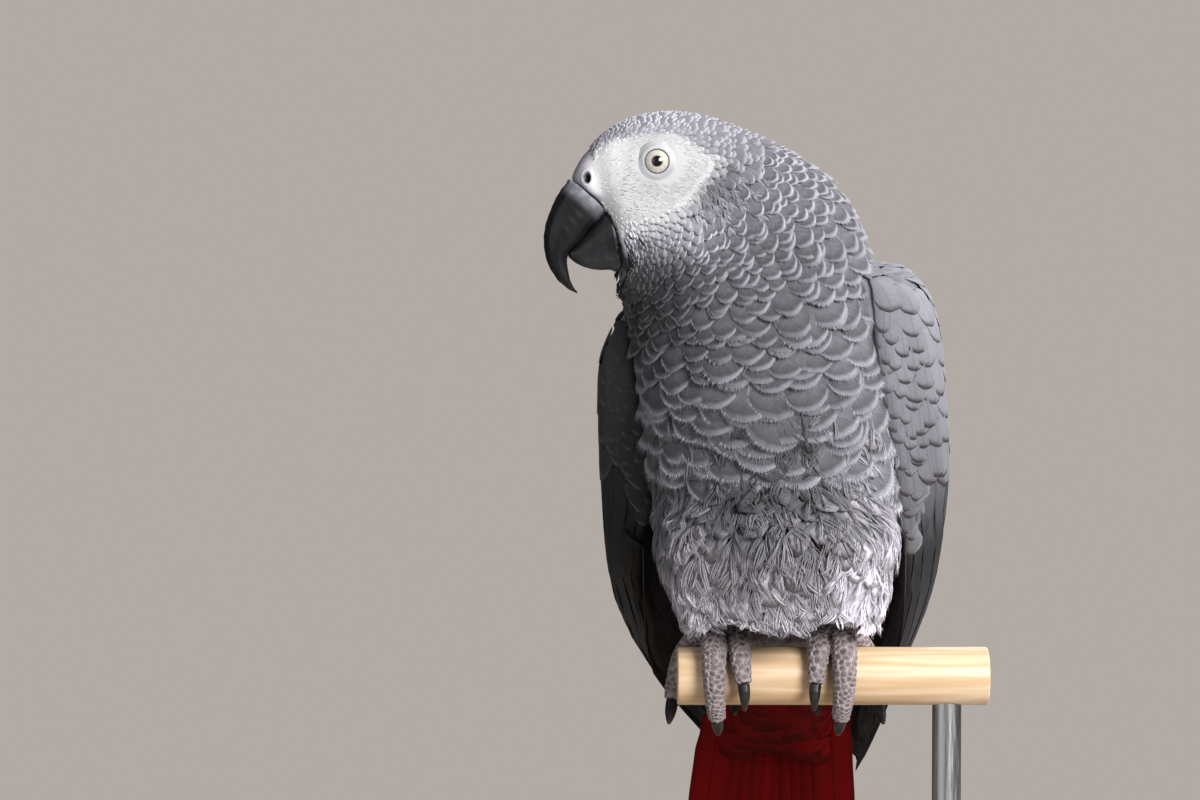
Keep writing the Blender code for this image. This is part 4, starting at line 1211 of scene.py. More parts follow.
def lay_body(looks):
    row, column, points = body_roots()
    angle = column / AROUND * 2 * math.pi
    place = place_at(row)
    visible, wide = by_place(row, VISIBLE), by_place(row, WIDE)
    size = DICE.uniform(0.82, 1.2, len(row))
    length = visible * (2.7 + 0.5 * smooth_step(2, 3, place)) * size
    half = visible * wide * 0.74 * size
    rimmed = 0.70 + 0.30 * smooth_step(1.0, 1.35, face_share(points) + (place > 1.2))
    length, half = length * (0.4 + 0.6 * rimmed), half * rimmed
    tip_points = BODY_SURFACE.read(BODY_SURFACE.points, row + length * 0.7 / ROW_LENGTH, column)
    tint = body_color(tip_points, row + length * 0.7 / ROW_LENGTH, angle)
    tint = tint * DICE.uniform(0.9, 1.1, len(row))[:, None]
    # painted light: feathers from the neck down on the right side, towards the key and side lamps, are
    # painted lighter
    tint = tint * (1 + 0.26 * smooth_step(0.3, 0.9, np.cos(angle)) * smooth_step(1.2, 1.7, place))[:, None]
    front = np.sin(angle) < 0.35
    loose = smooth_step(2.15, 2.65, place) * np.where(front, 1.0, 0.0) * (place < 3.6)
    loose = np.maximum(loose, smooth_step(2.8, 3.2, place) * (1 - smooth_step(3.55, 3.65, place)))
    wild = DICE.uniform(0, 1, len(row)) < loose
    yaw = DICE.normal(0, 1, len(row)) * (0.12 + 0.10 * smooth_step(1.6, 2.2, place) + 0.15 * loose)
    yaw = yaw * (1 - 0.7 * smooth_step(3.5, 3.8, place))
    depth = by_place(row, DEPTH)
    ruffled = 1 + 0.8 * (DICE.uniform(0, 1, len(row)) < 0.12) * smooth_step(1.0, 1.3, place)
    rise = DICE.uniform(0.5, 1.0, len(row)) * by_place(row, STAND) * ruffled
    roll = np.where(np.cos(angle - 0.4) > 0, 1, -1) * DICE.uniform(0.04, 0.10, len(row))
    thickness = np.clip(visible * 0.06, 0.08, 0.3)
    camber = 0.05 / half
    ear = ear_share(points) * (place < 1.2)
    streaky = DICE.uniform(0, 1, len(row)) < np.sqrt(ear) * 1.2 - 0.1
    tint = np.where(streaky[:, None], tint * 1.75, tint)
    rise = np.where(streaky, 0.1, rise)
    brow = (face_share(tip_points) < 1.32) & (place < 1.2) & ~streaky
    groups = {
        "coat_head": (visible < 2.6) & ~wild & ~streaky & ~brow,
        "coat_brow": brow,
        "coat_ears": streaky,
        "coat_neck": (visible >= 2.6) & (place < 1.75) & ~wild & ~streaky & ~brow,
        "coat_breast": (place >= 1.75) & (place < 3.6) & (np.sin(angle) < 0.2) & ~wild,
        "coat_back": (place >= 1.75) & (place < 3.6) & (np.sin(angle) >= 0.2) & ~wild,
        "coat_tail_coverts": (place >= 3.6) & ~wild,
        "coat_belly": wild,
    }
    shapes = {
        "coat_head": [vane(4, 7, shoulder=0.45, ripple=0.02, seed=k) for k in range(3)],
        "coat_brow": [vane(4, 7, shoulder=0.45, ripple=0.02, seed=k) for k in range(3)],
        "coat_ears": [tuft(20, 4, 0.8, 7, 0.055, seed=50 + k, bend=0.15) for k in range(3)],
        "coat_neck": [add_barbs(vane(6, 11, shoulder=0.4, ripple=0.02, seed=k), 34, 0.24, 0.035, k)
                      for k in range(4)],
        "coat_breast": [add_barbs(vane(6, 17, shoulder=0.45, ripple=0.01, seed=k), 70, 0.20, 0.018, k,
                                  first=0.55, spread=0.3, aspect=1.9) for k in range(5)],
        "coat_back": [add_barbs(vane(6, 9, shoulder=0.45, ripple=0.02, seed=k), 30, 0.14, 0.025, k,
                                first=0.6, aspect=2.5) for k in range(4)],
        "coat_tail_coverts": [vane(7, 9, shoulder=0.55, ridge=0.1, ripple=0.01, seed=k) for k in range(4)],
        "coat_belly": [frayed(60 + k) for k in range(6)],
    }
    for name, chosen in groups.items():
        pile = Pile(name)
        pick = np.arange(len(row)) % len(shapes[name])
        for k, shape in enumerate(shapes[name]):
            own = chosen & (pick == k)
            pile.add(BODY_SURFACE, shape, row[own], column[own], yaw[own], length[own], half[own],
                     lying(depth[own], rise[own], roll[own], thickness[own], camber[own]),
                     tint[own], bake_place(row[own], column[own]))
        pile.build(looks[name])


def curtain_surface(steps=60, columns=81):
    """Where the belly's loose feathers hang, in front and at the sides, down to just above the dowel."""
    target = tree("trunk", "neck", "rump", "thigh_left", "thigh_right")
    top = PERCH_MIDDLE[2] + 96.0
    heights = np.linspace(top, PERCH_MIDDLE[2] + 10.5, steps)
    turn = np.radians(np.linspace(-205, 25, columns))
    centre = np.array((0.0, PERCH_MIDDLE[1] - 8.0))
    reach = np.full((steps, columns), np.nan)
    for i, height in enumerate(heights):
        for j, angle in enumerate(turn):
            ray = Vector((math.cos(angle), math.sin(angle), 0))
            reach[i, j] = from_outside(target, Vector((centre[0], centre[1], height)), ray)
    for i, above in enumerate(heights - PERCH_MIDDLE[2]):
        wide = np.interp(above, (10, 20, 43, 60, 90), (31, 35, 40.5, 41, 39))
        deep = np.interp(above, (10, 20, 43, 60, 90), (17, 22, 30, 33, 20))
        oval = 1 / np.hypot(np.cos(turn) / wide, np.sin(turn) / deep)
        low = 1 - smooth_step(48, 90, above)
        own = np.where(np.isnan(reach[i]), 0, reach[i])
        reach[i] = np.maximum(own, oval * low)
    reach = blur(reach, 3.0, 2.0, False)
    rays = np.stack([np.cos(turn), np.sin(turn), 0 * turn], -1)
    spots = np.zeros((steps, columns, 3))
    spots[..., :2] = centre
    spots[..., 2] = heights[:, None]
    return Surface(spots + reach[..., None] * rays[None], False, rays[None])


def lay_curtain(look):
    """The belly's loose tufts, hanging in clumps."""
    surface = curtain_surface()
    rows, columns = surface.points.shape[:2]
    down = np.linspace(0, 1, rows)[:, None] + np.zeros((1, columns))
    visible = 8.0 - 1.5 * down
    row, column = sow(surface, visible, visible * 0.78, 0.3, False)
    row = np.maximum(row + DICE.normal(0, 1.6, len(row)), 0)
    points = surface.read(surface.points, row, column)
    body_row, angle = locate(points)
    count = len(row)
    toes = [(middle(f"toe_2_{side}")[0] + middle(f"toe_3_{side}")[0]) / 2 for side in ("left", "right")]
    feet = sum(np.exp(-((points[:, 0] - x) / 11.0) ** 4) for x in toes)
    floor = surface.points[-1, 0, 2] + 2.0 + 5.5 * feet * (points[:, 1] < PERCH_MIDDLE[1] + 5.0)
    length = np.minimum(DICE.uniform(16, 27, count), (points[:, 2] - floor) / 0.93)
    good = length > 6.0
    row, column, length, points, angle, body_row = (
        v[good] for v in (row, column, length, points, angle, body_row))
    count = len(row)
    low = smooth_step(0.2, 0.9, row / rows)
    outer = smooth_step(14, 34, np.abs(points[:, 0]))
    # painted light: tufts on the belly's right side, towards the lamps, are painted lighter
    lit = smooth_step(6, 28, points[:, 0])
    patchy = 1 + 0.20 * np.sin(points[:, 0] / 5.5 + points[:, 2] / 8.0) * np.cos(points[:, 2] / 6.5 - 0.4)
    value = (0.17 + 0.76 * low + 0.08 * outer + 0.50 * lit) * patchy
    tint = grey(value) * DICE.uniform(0.72, 1.2, count)[:, None] * np.array((1.015, 0.99, 0.96))
    half = DICE.uniform(5.5, 9.5, count)
    sway = np.sin(points[:, 0] / 7.0 + 1.3) * np.cos(points[:, 2] / 9.0 + 0.5)
    yaw = (DICE.normal(0, 0.18, count) + 0.45 * sway) * (1 - 0.5 * low)
    rise = DICE.uniform(-0.8, 4.0, count) * (1 - 0.4 * low)
    ragged = DICE.uniform(0, 1, count) < 0.85 - 0.25 * low
    plumes = [tuft(30, 5, 0.9, 5, 0.030, seed=70 + k) for k in range(6)]
    torn = [frayed(90 + k) for k in range(8)]
    left = (angle > -math.pi / 2) & (angle < math.pi / 2)
    for name, side in (("coat_belly_left", left), ("coat_belly_right", ~left)):
        pile = Pile(name)
        for shapes, chosen in ((plumes, side & ~ragged), (torn, side & ragged)):
            for k, shape in enumerate(shapes):
                own = chosen & (np.arange(count) % len(shapes) == k)
                # darker at the root, painted shade under the tufts above, and paler towards the tip as the
                # feathers are
                painted_root_shade_and_pale_tips = (0.42 + 0.80 * np.clip(shape["t"], 0, 1) ** 1.4)[None, :, None]
                place = bake_place(body_row[own], angle[own] / (2 * math.pi) * AROUND)
                pile.add(surface, shape, row[own], column[own], yaw[own], length[own] * 0.9, half[own],
                         lying(3.0, rise[own], 0.0, 0.22, 0.02 / half[own]), tint[own][:, None] * painted_root_shade_and_pale_tips, place)
        pile.build(look)


# ---------------------------------------------------------------- feathers of wings, tail, face and chin


def wing_place(surface, side, row, share):
    """Places on the unwrap for roots on a wing."""
    spine_row = np.interp(row, np.arange(len(surface.spine_rows)), surface.spine_rows)
    angle = share * 0.28 + (0.0 if side == "left" else 0.5)
    return bake_place(angle * AROUND, spine_row)


def painted_wing_shade(side, share):
    """Painted shade: the right wing's front, turned away from the lamps, is painted darker."""
    shade = 1 - (0.89 if side == "right" else 0.0) * (1 - smooth_step(0.3, 0.6, share))
    return shade[:, None]


def lay_coverts(side, surface, look):
    """The small scale-like feathers of a wing, growing larger towards the flight feathers."""
    rows, columns = surface.points.shape[:2]
    down = np.linspace(0, 1, rows)[:, None] + np.zeros((1, columns))
    share = surface.share[None] + 0 * down
    visible = np.interp(down, (0, 0.08, 0.14, 0.20, 0.36), (4.4, 6.2, 8.6, 11.0, 15.0))
    edge = smooth_step(0.0, 0.20, share)
    visible = visible * edge + np.minimum(visible, 5.2) * (1 - edge)
    row, column = sow(surface, visible, visible * 1.05, 0.1, False)
    share = surface.read(share, row, column)
    last = np.interp(share, (-0.15, -0.04, 0.03, 0.14, 0.7), (0.425, 0.39, 0.28, 0.27, 0.36))
    good = row / rows < last
    row, column, share = row[good], column[good], share[good]
    size = surface.read(visible, row, column)
    scale = DICE.uniform(0.92, 1.1, len(row))
    length, half = size * 2.5 * scale, size * 0.74 * scale
    value = 0.28 - 0.10 * smooth_step(0.1, 0.35, row / rows)
    place = wing_place(surface, side, row, share)
    # painted shade: the right wing's front is painted darker
    tint = grey(value) * DICE.uniform(0.92, 1.08, len(row))[:, None] * painted_wing_shade(side, share)
    depth = np.interp(size, (3, 8, 16), (0.26, 0.33, 0.50))
    pile = Pile(f"coat_wing_{side}_coverts")
    for k in range(4):
        own = np.arange(len(row)) % 4 == k
        shape = vane(7, 9, waist=0.5, shoulder=0.5, ridge=0.12, ripple=0.012, seed=20 + k)
        yaw, rise = DICE.normal(0, 0.05, own.sum()), DICE.uniform(0.0, 0.12, own.sum())
        pile.add(surface, shape, row[own], column[own], yaw, length[own], half[own],
                 lying(depth[own], rise, -0.01, 0.05, 0.02 / half[own]), tint[own], place[own])
    pile.build(look)


def stacked(order, drop):
    """Heights of long feathers that rise from under the coverts and lie over each other in order."""
    def profile(shape, x):
        t, s = np.clip(shape["y"], 0, 1)[None], shape["s"][None]
        level = (order[:, None] + drop) * smooth_step(0.1, 0.6, t) - drop
        return (level + 0.6 * t ** 8 - 0.45 * s * np.abs(s)
                + 0.22 * shape["body"][None] + shape["rise"][None])
    return profile


def lay_flight(side, surface, look):
    """Primaries and secondaries: long vanes, each lying over the next one towards the leading edge."""
    rows = len(surface.points)
    columns = np.arange(len(surface.share))
    pile = Pile(f"coat_wing_{side}_flight")
    count = 18
    share = np.linspace(-0.12, 0.97, count)
    column = np.interp(share, surface.share, columns)
    start = np.interp(share, (0, 0.4, 1.0), (0.19, 0.15, 0.13))
    end = np.interp(share, (0.0, 0.12, 0.3, 0.42, 0.7, 1.0), (0.90, 0.985, 0.97, 0.86, 0.80, 0.70))
    end = end + DICE.uniform(-0.008, 0.008, count)
    length = surface.length_to(start * (rows - 1), column, end * (rows - 1))
    half = np.interp(share, (0, 0.3, 1), (5.5, 7.0, 8.5)) * DICE.uniform(0.96, 1.05, count)
    place = wing_place(surface, side, start * rows, share)
    shape = vane(17, 9, waist=0.8, full=0.2, shoulder=0.90, ridge=0.25, ripple=0.002, seed=31)
    base = np.interp(share, (0.0, 0.4, 1.0), (0.15, 0.17, 0.19))
    tip = np.interp(share, (0.4, 1.0), (0.020, 0.13))
    along = smooth_step(0.345, 0.50, start[:, None] + (end - start)[:, None] * shape["t"][None])
    value = base[:, None] * (1 - along) + tip[:, None] * along
    # painted shade: the right wing's front is painted darker
    tint = grey(value * DICE.uniform(0.92, 1.08, count)[:, None]) * painted_wing_shade(side, share)[:, None]
    pile.add(surface, shape, start * (rows - 1), column, -0.01, length, half,
             stacked(np.linspace(-0.5, 1.0, count), 0.8), tint, place)
    inner = UNDERSIDES[side]
    count = 9
    share = np.linspace(0.04, 0.9, count)
    column = np.interp(share, inner.share, np.arange(len(inner.share)))
    length = inner.along.sum(0).mean() * np.interp(share, (0, 0.35, 1), (0.86, 0.93, 0.55))
    shape = vane(11, 7, waist=0.75, full=0.25, shoulder=0.85, ridge=0.35, ripple=0.003, seed=32)
    pile.add(inner, shape, np.full(count, 0.5), column, 0.0, length, 5.5,
             stacked(np.linspace(-1.0, -0.4, count), 2.0), np.tile(CHARCOAL * 0.8, (count, 1)),
             wing_place(inner, side, np.full(count, 0.5), share))
    pile.build(look, [f"wing_{side}_primaries"])


def lay_tail(look):
    """Twelve rectrices: the middle pair on top, each outer one under the last."""
    rows, columns = TAIL.points.shape[:2]
    place = np.linspace(-0.86, 0.86, 12)
    column = np.interp(place, TAIL.share, np.arange(columns))
    length = TAIL.length_to(np.full(12, 0.2), column, (rows - 1) * (0.985 - 0.05 * place**2))
    level = 1 - 2 * np.abs(place) ** 0.8
    thick = np.nanmean(TAIL.thick, axis=1)

    def profile(shape, x):
        t, s = shape["t"][None], shape["s"][None]
        half = np.interp(t, np.linspace(0, 1, rows), thick) - 0.3
        return level[:, None] * half * 0.8 - 0.5 * s * s + 0.25 * shape["body"][None] + shape["rise"][None]

    pile = Pile("coat_tail")
    tint = TAIL_RED[None] * DICE.uniform(0.85, 1.1, 12)[:, None]
    shape = vane(14, 11, waist=0.8, full=0.3, shoulder=0.90, ridge=0.3, ripple=0.004, seed=41)
    pile.add(TAIL, shape, np.full(12, 0.2), column, DICE.normal(0, 0.01, 12), length, 8.2, profile,
             tint, bake_place(place * 0.2 * AROUND + 0.3 * AROUND, np.full(12, at(5.2))))
    pile.build(look, ["tail"])


def lay_face(look):
    """The bare face's scattered hair-fine feathers."""
    points, faces, _ = HEAD_SKIN
    ground = target_of(points, faces)
    grid = np.ones(BODY_SURFACE.points.shape[:2])
    row, column = sow(BODY_SURFACE, 0.9 * grid, 0.65 * grid, 0.4, True)
    row, column = row + DICE.uniform(-0.6, 0.6, len(row)), column + DICE.uniform(-0.3, 0.3, len(row))
    good = DICE.uniform(0, 1, len(row)) < smooth_step(0.0, 0.25, place_at(row))
    row, column = row[good], column[good]
    points = BODY_SURFACE.read(BODY_SURFACE.points, row, column)
    share = face_share(points)
    tips = BODY_SURFACE.read(BODY_SURFACE.points, row + 3.0 / ROW_LENGTH, column)
    to_eye = np.min([np.hypot(p[:, 0] - e[0], p[:, 2] - e[2])
                     for e in EYES.values() for p in (points, tips)], axis=0)
    off = distances(ground, points)
    good = (place_at(row) > 0.03) & (place_at(row) < 1.1) & (share < 1.08) & (to_eye > 7.0) & (off < 0.8)
    row, column, points = row[good], column[good], points[good]
    count = len(row)
    pile = Pile("coat_face")
    shape = vane(3, 3, waist=0.7, full=0.4, shoulder=0.6)
    angle = column / AROUND * 2 * math.pi
    tint = body_color(points, row, angle) * DICE.uniform(0.92, 1.12, count)[:, None]
    yaw, length = DICE.normal(0, 0.12, count), DICE.uniform(2.6, 4.2, count)
    half, rise = DICE.uniform(0.12, 0.21, count), DICE.uniform(0.03, 0.10, count)
    pile.add(BODY_SURFACE, shape, row, column, yaw, length, half, lying(0.06, rise, 0.0, 0.05, 0.0), tint,
             bake_place(row, column), ground)
    pile.build(look)


def lay_chin(look):
    """Stiff black bristles between the lower bill and the throat."""
    count = 120
    row = DICE.uniform(at(0.05), at(0.36), count)
    column = DICE.normal(0.5, 0.05, count) * AROUND
    pile = Pile("coat_chin")
    shape = vane(5, 3, waist=0.8, full=0.3, shoulder=0.7)
    size = DICE.uniform(3.5, 7.0, count)

    def profile(shape, x):
        t = shape["t"][None]
        return -0.4 + 0.5 * t + 0.28 * size[:, None] * t ** 2 + 0.08 * shape["body"][None]

    tint = np.tile(CHARCOAL * 0.6, (count, 1))
    pile.add(BODY_SURFACE, shape, row, column, DICE.normal(0, 0.25, count), size, 0.22, profile, tint,
             bake_place(row, column))
    pile.build(look)


# ---------------------------------------------------------------- eyes and lids

EYE_BALL = 5.4
PUPIL = 1.85


def eye_axis(side):
    """Straight out of the head, with two axes across it."""
    out = np.array((0.0, -1.0, 0.0)) if side == "left" else np.array((0.0, 1.0, 0.0))
    up = np.array((0.0, 0.0, 1.0))
    return out, up, np.cross(up, out)


def make_eye(side, look):
    """A ball with a slightly raised cornea, painted with a pupil, a streaked iris and a dark rim."""
    out, up, across = eye_axis(side)
    around = 64
    polar = np.concatenate([np.linspace(0.02, 0.95, 34), np.linspace(1.05, math.pi - 0.05, 14)])
    angle = turns(around)
    radius = EYE_BALL + 0.18 * np.exp(-(np.sin(polar) * EYE_BALL / 3.0) ** 2) * (np.cos(polar) > 0)
    ring = radius * np.sin(polar)
    deep = radius * np.cos(polar)
    points = (deep[:, None, None] * out + ring[:, None, None] * (
        np.cos(angle)[None, :, None] * across + np.sin(angle)[None, :, None] * up))
    points = np.concatenate([points.reshape(-1, 3), [out * radius[0], -out * EYE_BALL]]) + EYES[side]
    faces = closed_rings(len(polar), around, len(points) - 2, len(points) - 1)
    dice = np.random.default_rng(11)
    streak = np.convolve(np.tile(dice.uniform(-1, 1, around), 3), np.ones(3) / 3, "same")[around:2 * around]
    color = np.zeros((len(polar), around, 3))
    for i, r in enumerate(ring):
        cream = np.array((0.66, 0.62, 0.55)) * (1 + 0.16 * streak[:, None] * smooth_step(1.6, 3.0, r))
        cream = cream * (0.80 + 0.20 * smooth_step(PUPIL, PUPIL + 0.6, r))
        dark = np.array((0.012, 0.010, 0.010))
        share = smooth_step(PUPIL - 0.09, PUPIL + 0.09, r) * (1 - smooth_step(3.72, 3.95, r))
        color[i] = dark + (cream - dark) * (share if deep[i] > 0 else 0)
    color = np.concatenate([color.reshape(-1, 3), np.full((2, 3), 0.012)])
    mesh = solid_mesh(f"eyeball_{side}", points, faces)
    paint(mesh, color)
    finish_piece(f"eyeball_{side}", mesh, look, [f"eye_{side}"])


def lid_skin(side):
    """A ring of thick skin round the eye, running out into the face."""
    out, up, across = eye_axis(side)
    around = 56
    radii = (3.86, 3.92, 4.02, 4.16, 4.35, 4.6, 4.9, 5.3, 5.8, 6.4, 7.1)
    angle = turns(around)
    x, z = (np.array(radii)[:, None] * f(angle) for f in (np.cos, np.sin))
    angle = np.arctan2(z, x)
    points, faces, _ = HEAD_SKIN
    grounds = (target_of(points, faces), tree("head", f"eye_{side}"))
    shape = np.interp(radii, (3.86, 3.95, 4.1, 4.3, 4.6, 4.95, 5.4, 5.9, 6.5),
                      (3.35, 3.75, 4.02, 4.12, 4.10, 4.02, 4.0, 4.0, 4.0))
    base = EYES[side] + x[..., None] * across + z[..., None] * up
    rim = np.array(radii)[:, None]
    reach = np.zeros(x.shape)
    for i, j in np.ndindex(x.shape):
        start = Vector(base[i, j] + out * 30)
        skin, cad = (30 - (g.ray_cast(start, Vector(-out), 60.0)[3] or 60.0) for g in grounds)
        reach[i, j] = skin + max(cad - skin, 0) * (1 - smooth_step(5.0, 6.5, radii[i]))
    reach = np.median([np.roll(reach, k, 1) for k in range(-4, 5)], axis=0)
    reach = np.maximum(blur(reach, 0, 1.5, True), 3.7 - 1.7 * smooth_step(5.0, 6.5, rim))
    share = smooth_step(4.15, 5.1, rim)
    fold = 0.06 * np.sin(rim * 7.0 + 1.3 * np.sin(2 * angle)) * (z < 1.5) * (rim > 4.9) * (rim < 6.2)
    lift = 0.12 - 0.08 * smooth_step(5.2, 6.4, rim) - 0.5 * smooth_step(6.4, 7.1, rim)
    height = shape[:, None] + (reach + lift - shape[:, None]) * share + fold
    floor = np.minimum(height, reach) - 1.6
    points = np.stack([base + height[..., None] * out, base + floor[..., None] * out])
    count = len(radii) * around
    faces = ring_faces(len(radii), around)
    faces += [tuple(count + v for v in f[::-1]) for f in faces]
    for i in (0, len(radii) - 1):
        for j in range(around):
            k = (j + 1) % around
            quad = (i * around + j, i * around + k, count + i * around + k, count + i * around + j)
            faces.append(quad[::-1] if i == 0 else quad)
    if side == "left":
        faces = [f[::-1] for f in faces]
    flat = points[0].reshape(-1, 3)
    color = np.tile(body_color(flat, *locate(flat)).reshape(1, len(radii), around, 3), (2, 1, 1, 1))
    for i, r in enumerate(radii):
        dark = 1 - smooth_step(4.0, 4.45, r)
        soft = np.exp(-((r - 5.6) / 1.1) ** 2) * (0.02 + 0.22 * smooth_step(0.5, -3.5, z[i]))
        color[:, i] *= (1 - 0.88 * dark - soft)[:, None] * (1 - np.outer(soft, (0.3, 0.2, -0.1)))
    return points.reshape(-1, 3), np.array(faces), color.reshape(-1, 3)


# ---------------------------------------------------------------- bill and claws


def make_upper_bill(look):
    points, faces = remeshed(["upper_bill"], 0.42, 0.0)
    points = relaxed(points, faces, 5)
    normals = vertex_normals(points, faces)
    gap = distances(tree("cere", "head"), points)
    waves = 0.045 * np.sin(gap * 2.3 + 0.4 * points[:, 2]) * smooth_step(1.0, 6.0, gap)
    points = points + normals * (waves + 0.45 * (1 - smooth_step(0.5, 2.2, gap)))[:, None]
    dice = np.random.default_rng(5)
    spots = dice.uniform(0, 1, len(points))
    high = smooth_step(SPINE[0][2] - 17.0, SPINE[0][2] - 6.0, points[:, 2])
    powder = (1 - smooth_step(1.0, 6.5, gap)) * high
    color = blend(np.tile(HORN, (len(points), 1)), POWDER, powder * (0.7 + 0.3 * spots))
    smooth_piece("bill_upper", points, faces, color, look, ["upper_bill"])


def make_lower_bill(look):
    points, faces = remeshed(["lower_bill"], 0.42, 0.45)
    points = relaxed(points, faces, 5)
    gap = distances(tree("head"), points)
    points = points + vertex_normals(points, faces) * (0.8 * (1 - smooth_step(0.8, 3.5, gap)))[:, None]
    low = smooth_step(SPINE[0][2] - 22, SPINE[0][2] - 28, points[:, 2])
    color = blend(np.tile(HORN * 1.4, (len(points), 1)), POWDER * 0.35, 0.25 * low)
    smooth_piece("bill_lower", points, faces, color, look, ["lower_bill"])


def make_claws(look):
    for side in ("left", "right"):
        for toe in "1234":
            node = f"claw_{toe}_{side}"
            points, faces = remeshed([node], 0.3, 0.35)
            points = relaxed(points, faces, 4)
            far = np.linalg.norm(points - points[0], axis=1)
            worn = smooth_step(0.75, 0.1, far / far.max())
            color = blend(np.tile(HORN, (len(points), 1)), SCALE_BROWN * 0.6, 0.35 * worn)
            smooth_piece(f"nail_{toe}_{side}", points, faces, color, look, [node])


# ---------------------------------------------------------------- skin and scales

FLESH = ("cere", "head", "neck", "trunk", "rump", "tail_coverts", "thigh_left", "thigh_right")
FEET = tuple(f"{part}_{side}" for side in ("left", "right")
             for part in ("tarsus", "toe_1", "toe_2", "toe_3", "toe_4"))
WING_DEPTH = 1.8  # how far the skin lies under the wings' feathers
SKIN_SHARE = 0.8  # how deep under the coat its skin lies, as a share of the coat's depth
NOSTRIL = (-66.4, 19.0, 171.3)  # from the middle of the perch


def wing_share(points):
    """1 on the wings, 0 on the body."""
    wings = tree(*[n for names in WINGS.values() for n in names])
    return (distances(wings, points) < distances(tree(*FLESH), points)).astype(float)


def wing_color(points):
    """Wing plumage: grey coverts, darker towards the flight feathers."""
    row, _ = locate(points)
    low = smooth_step(at(2.3), at(2.6), row)
    return blend(grey(np.full(len(points), 0.27)), CHARCOAL, low)


def body_skin():
    """The coarse skin under the whole coat, sunk by the coat's depth."""
    names = [*FLESH, *(n for parts in WINGS.values() for n in parts[:2])]
    points, faces = remeshed(names, 1.8, SWELL)
    points = relaxed(points, faces, 3)
    normals = vertex_normals(points, faces)
    row, angle = locate(points)
    wing = wing_share(points)
    depth = by_place(row, DEPTH) * SKIN_SHARE + SWELL + 0.5 * (place_at(row) < 1)
    depth = np.where(wing > 0.5, WING_DEPTH + SWELL, depth) + 2.5 * (row < at(0.25))
    depth = np.minimum(depth, 0.38 * thickness(points, faces, normals))
    points = relaxed(points - normals * depth[:, None], faces, 2)
    color = body_color(points, row, angle) * 0.8
    color = np.where(wing[:, None] > 0.5, wing_color(points) * 0.8, color)
    return points, faces, color


def head_skin():
    """The fine skin of the head: bare face and cere, and a thin cover under the small feathers."""
    points, faces = remeshed(("head", "cere"), 0.68, SWELL)
    smooth = relaxed(points, faces, 55)
    points = smooth + relaxed(points - smooth, faces, 55)
    normals = vertex_normals(points, faces)
    row, angle = locate(points)
    bare = 1 - smooth_step(0.95, 1.12, face_share(points))
    bare = np.maximum(bare, 1 - smooth_step(at(0.02), at(0.08), row))
    depth = by_place(row, DEPTH) * SKIN_SHARE * (1 - bare) + 0.12 * bare + SWELL
    points = relaxed(points - normals * depth[:, None], faces, 2)
    color = body_color(points, row, angle)
    for sign in (-1.0, 1.0):
        spot = PERCH_LINE + np.array(NOSTRIL) * (1.0, sign, 1.0)
        near = np.hypot((points[:, 0] - spot[0]) / 1.25, (points[:, 2] - spot[2]) / 1.9)
        near = np.where(sign * (points[:, 1] - EYE_MIDDLE[1]) > 2.0, near, 9.0)
        rim = np.exp(-((near - 1.35) / 0.35) ** 2)
        hole = 1 - smooth_step(0.6, 1.1, near)
        points = points + normals * (0.30 * rim - 2.2 * hole)[:, None]
        # painted shade: the nostril's hollow is painted near black
        color = blend(color, CHARCOAL * 0.3, 1 - smooth_step(0.9, 1.15, near))
    return points, faces, color


def foot_skin():
    """The fine skin of toes and shanks, in the colour seen between the scales."""
    points, faces = remeshed(FEET, 0.55, 0.30)
    points = relaxed(points, faces, 3)
    normals = vertex_normals(points, faces)
    points = points - normals * 0.08
    return points, faces, np.tile(SCALE_GAP, (len(points), 1))


def make_skin():
    parts = [body_skin(), HEAD_SKIN, foot_skin(), lid_skin("left"), lid_skin("right")]
    start, faces = 0, []
    for points, own, _ in parts:
        faces.append(own + start)
        start += len(points)
    points, color = (np.concatenate([p[k] for p in parts]) for k in (0, 2))
    names = [*FLESH, *FEET, *(n for group in WINGS.values() for n in group[:2])]
    smooth_piece("skin", points, np.concatenate(faces), color, skin_look(), names)


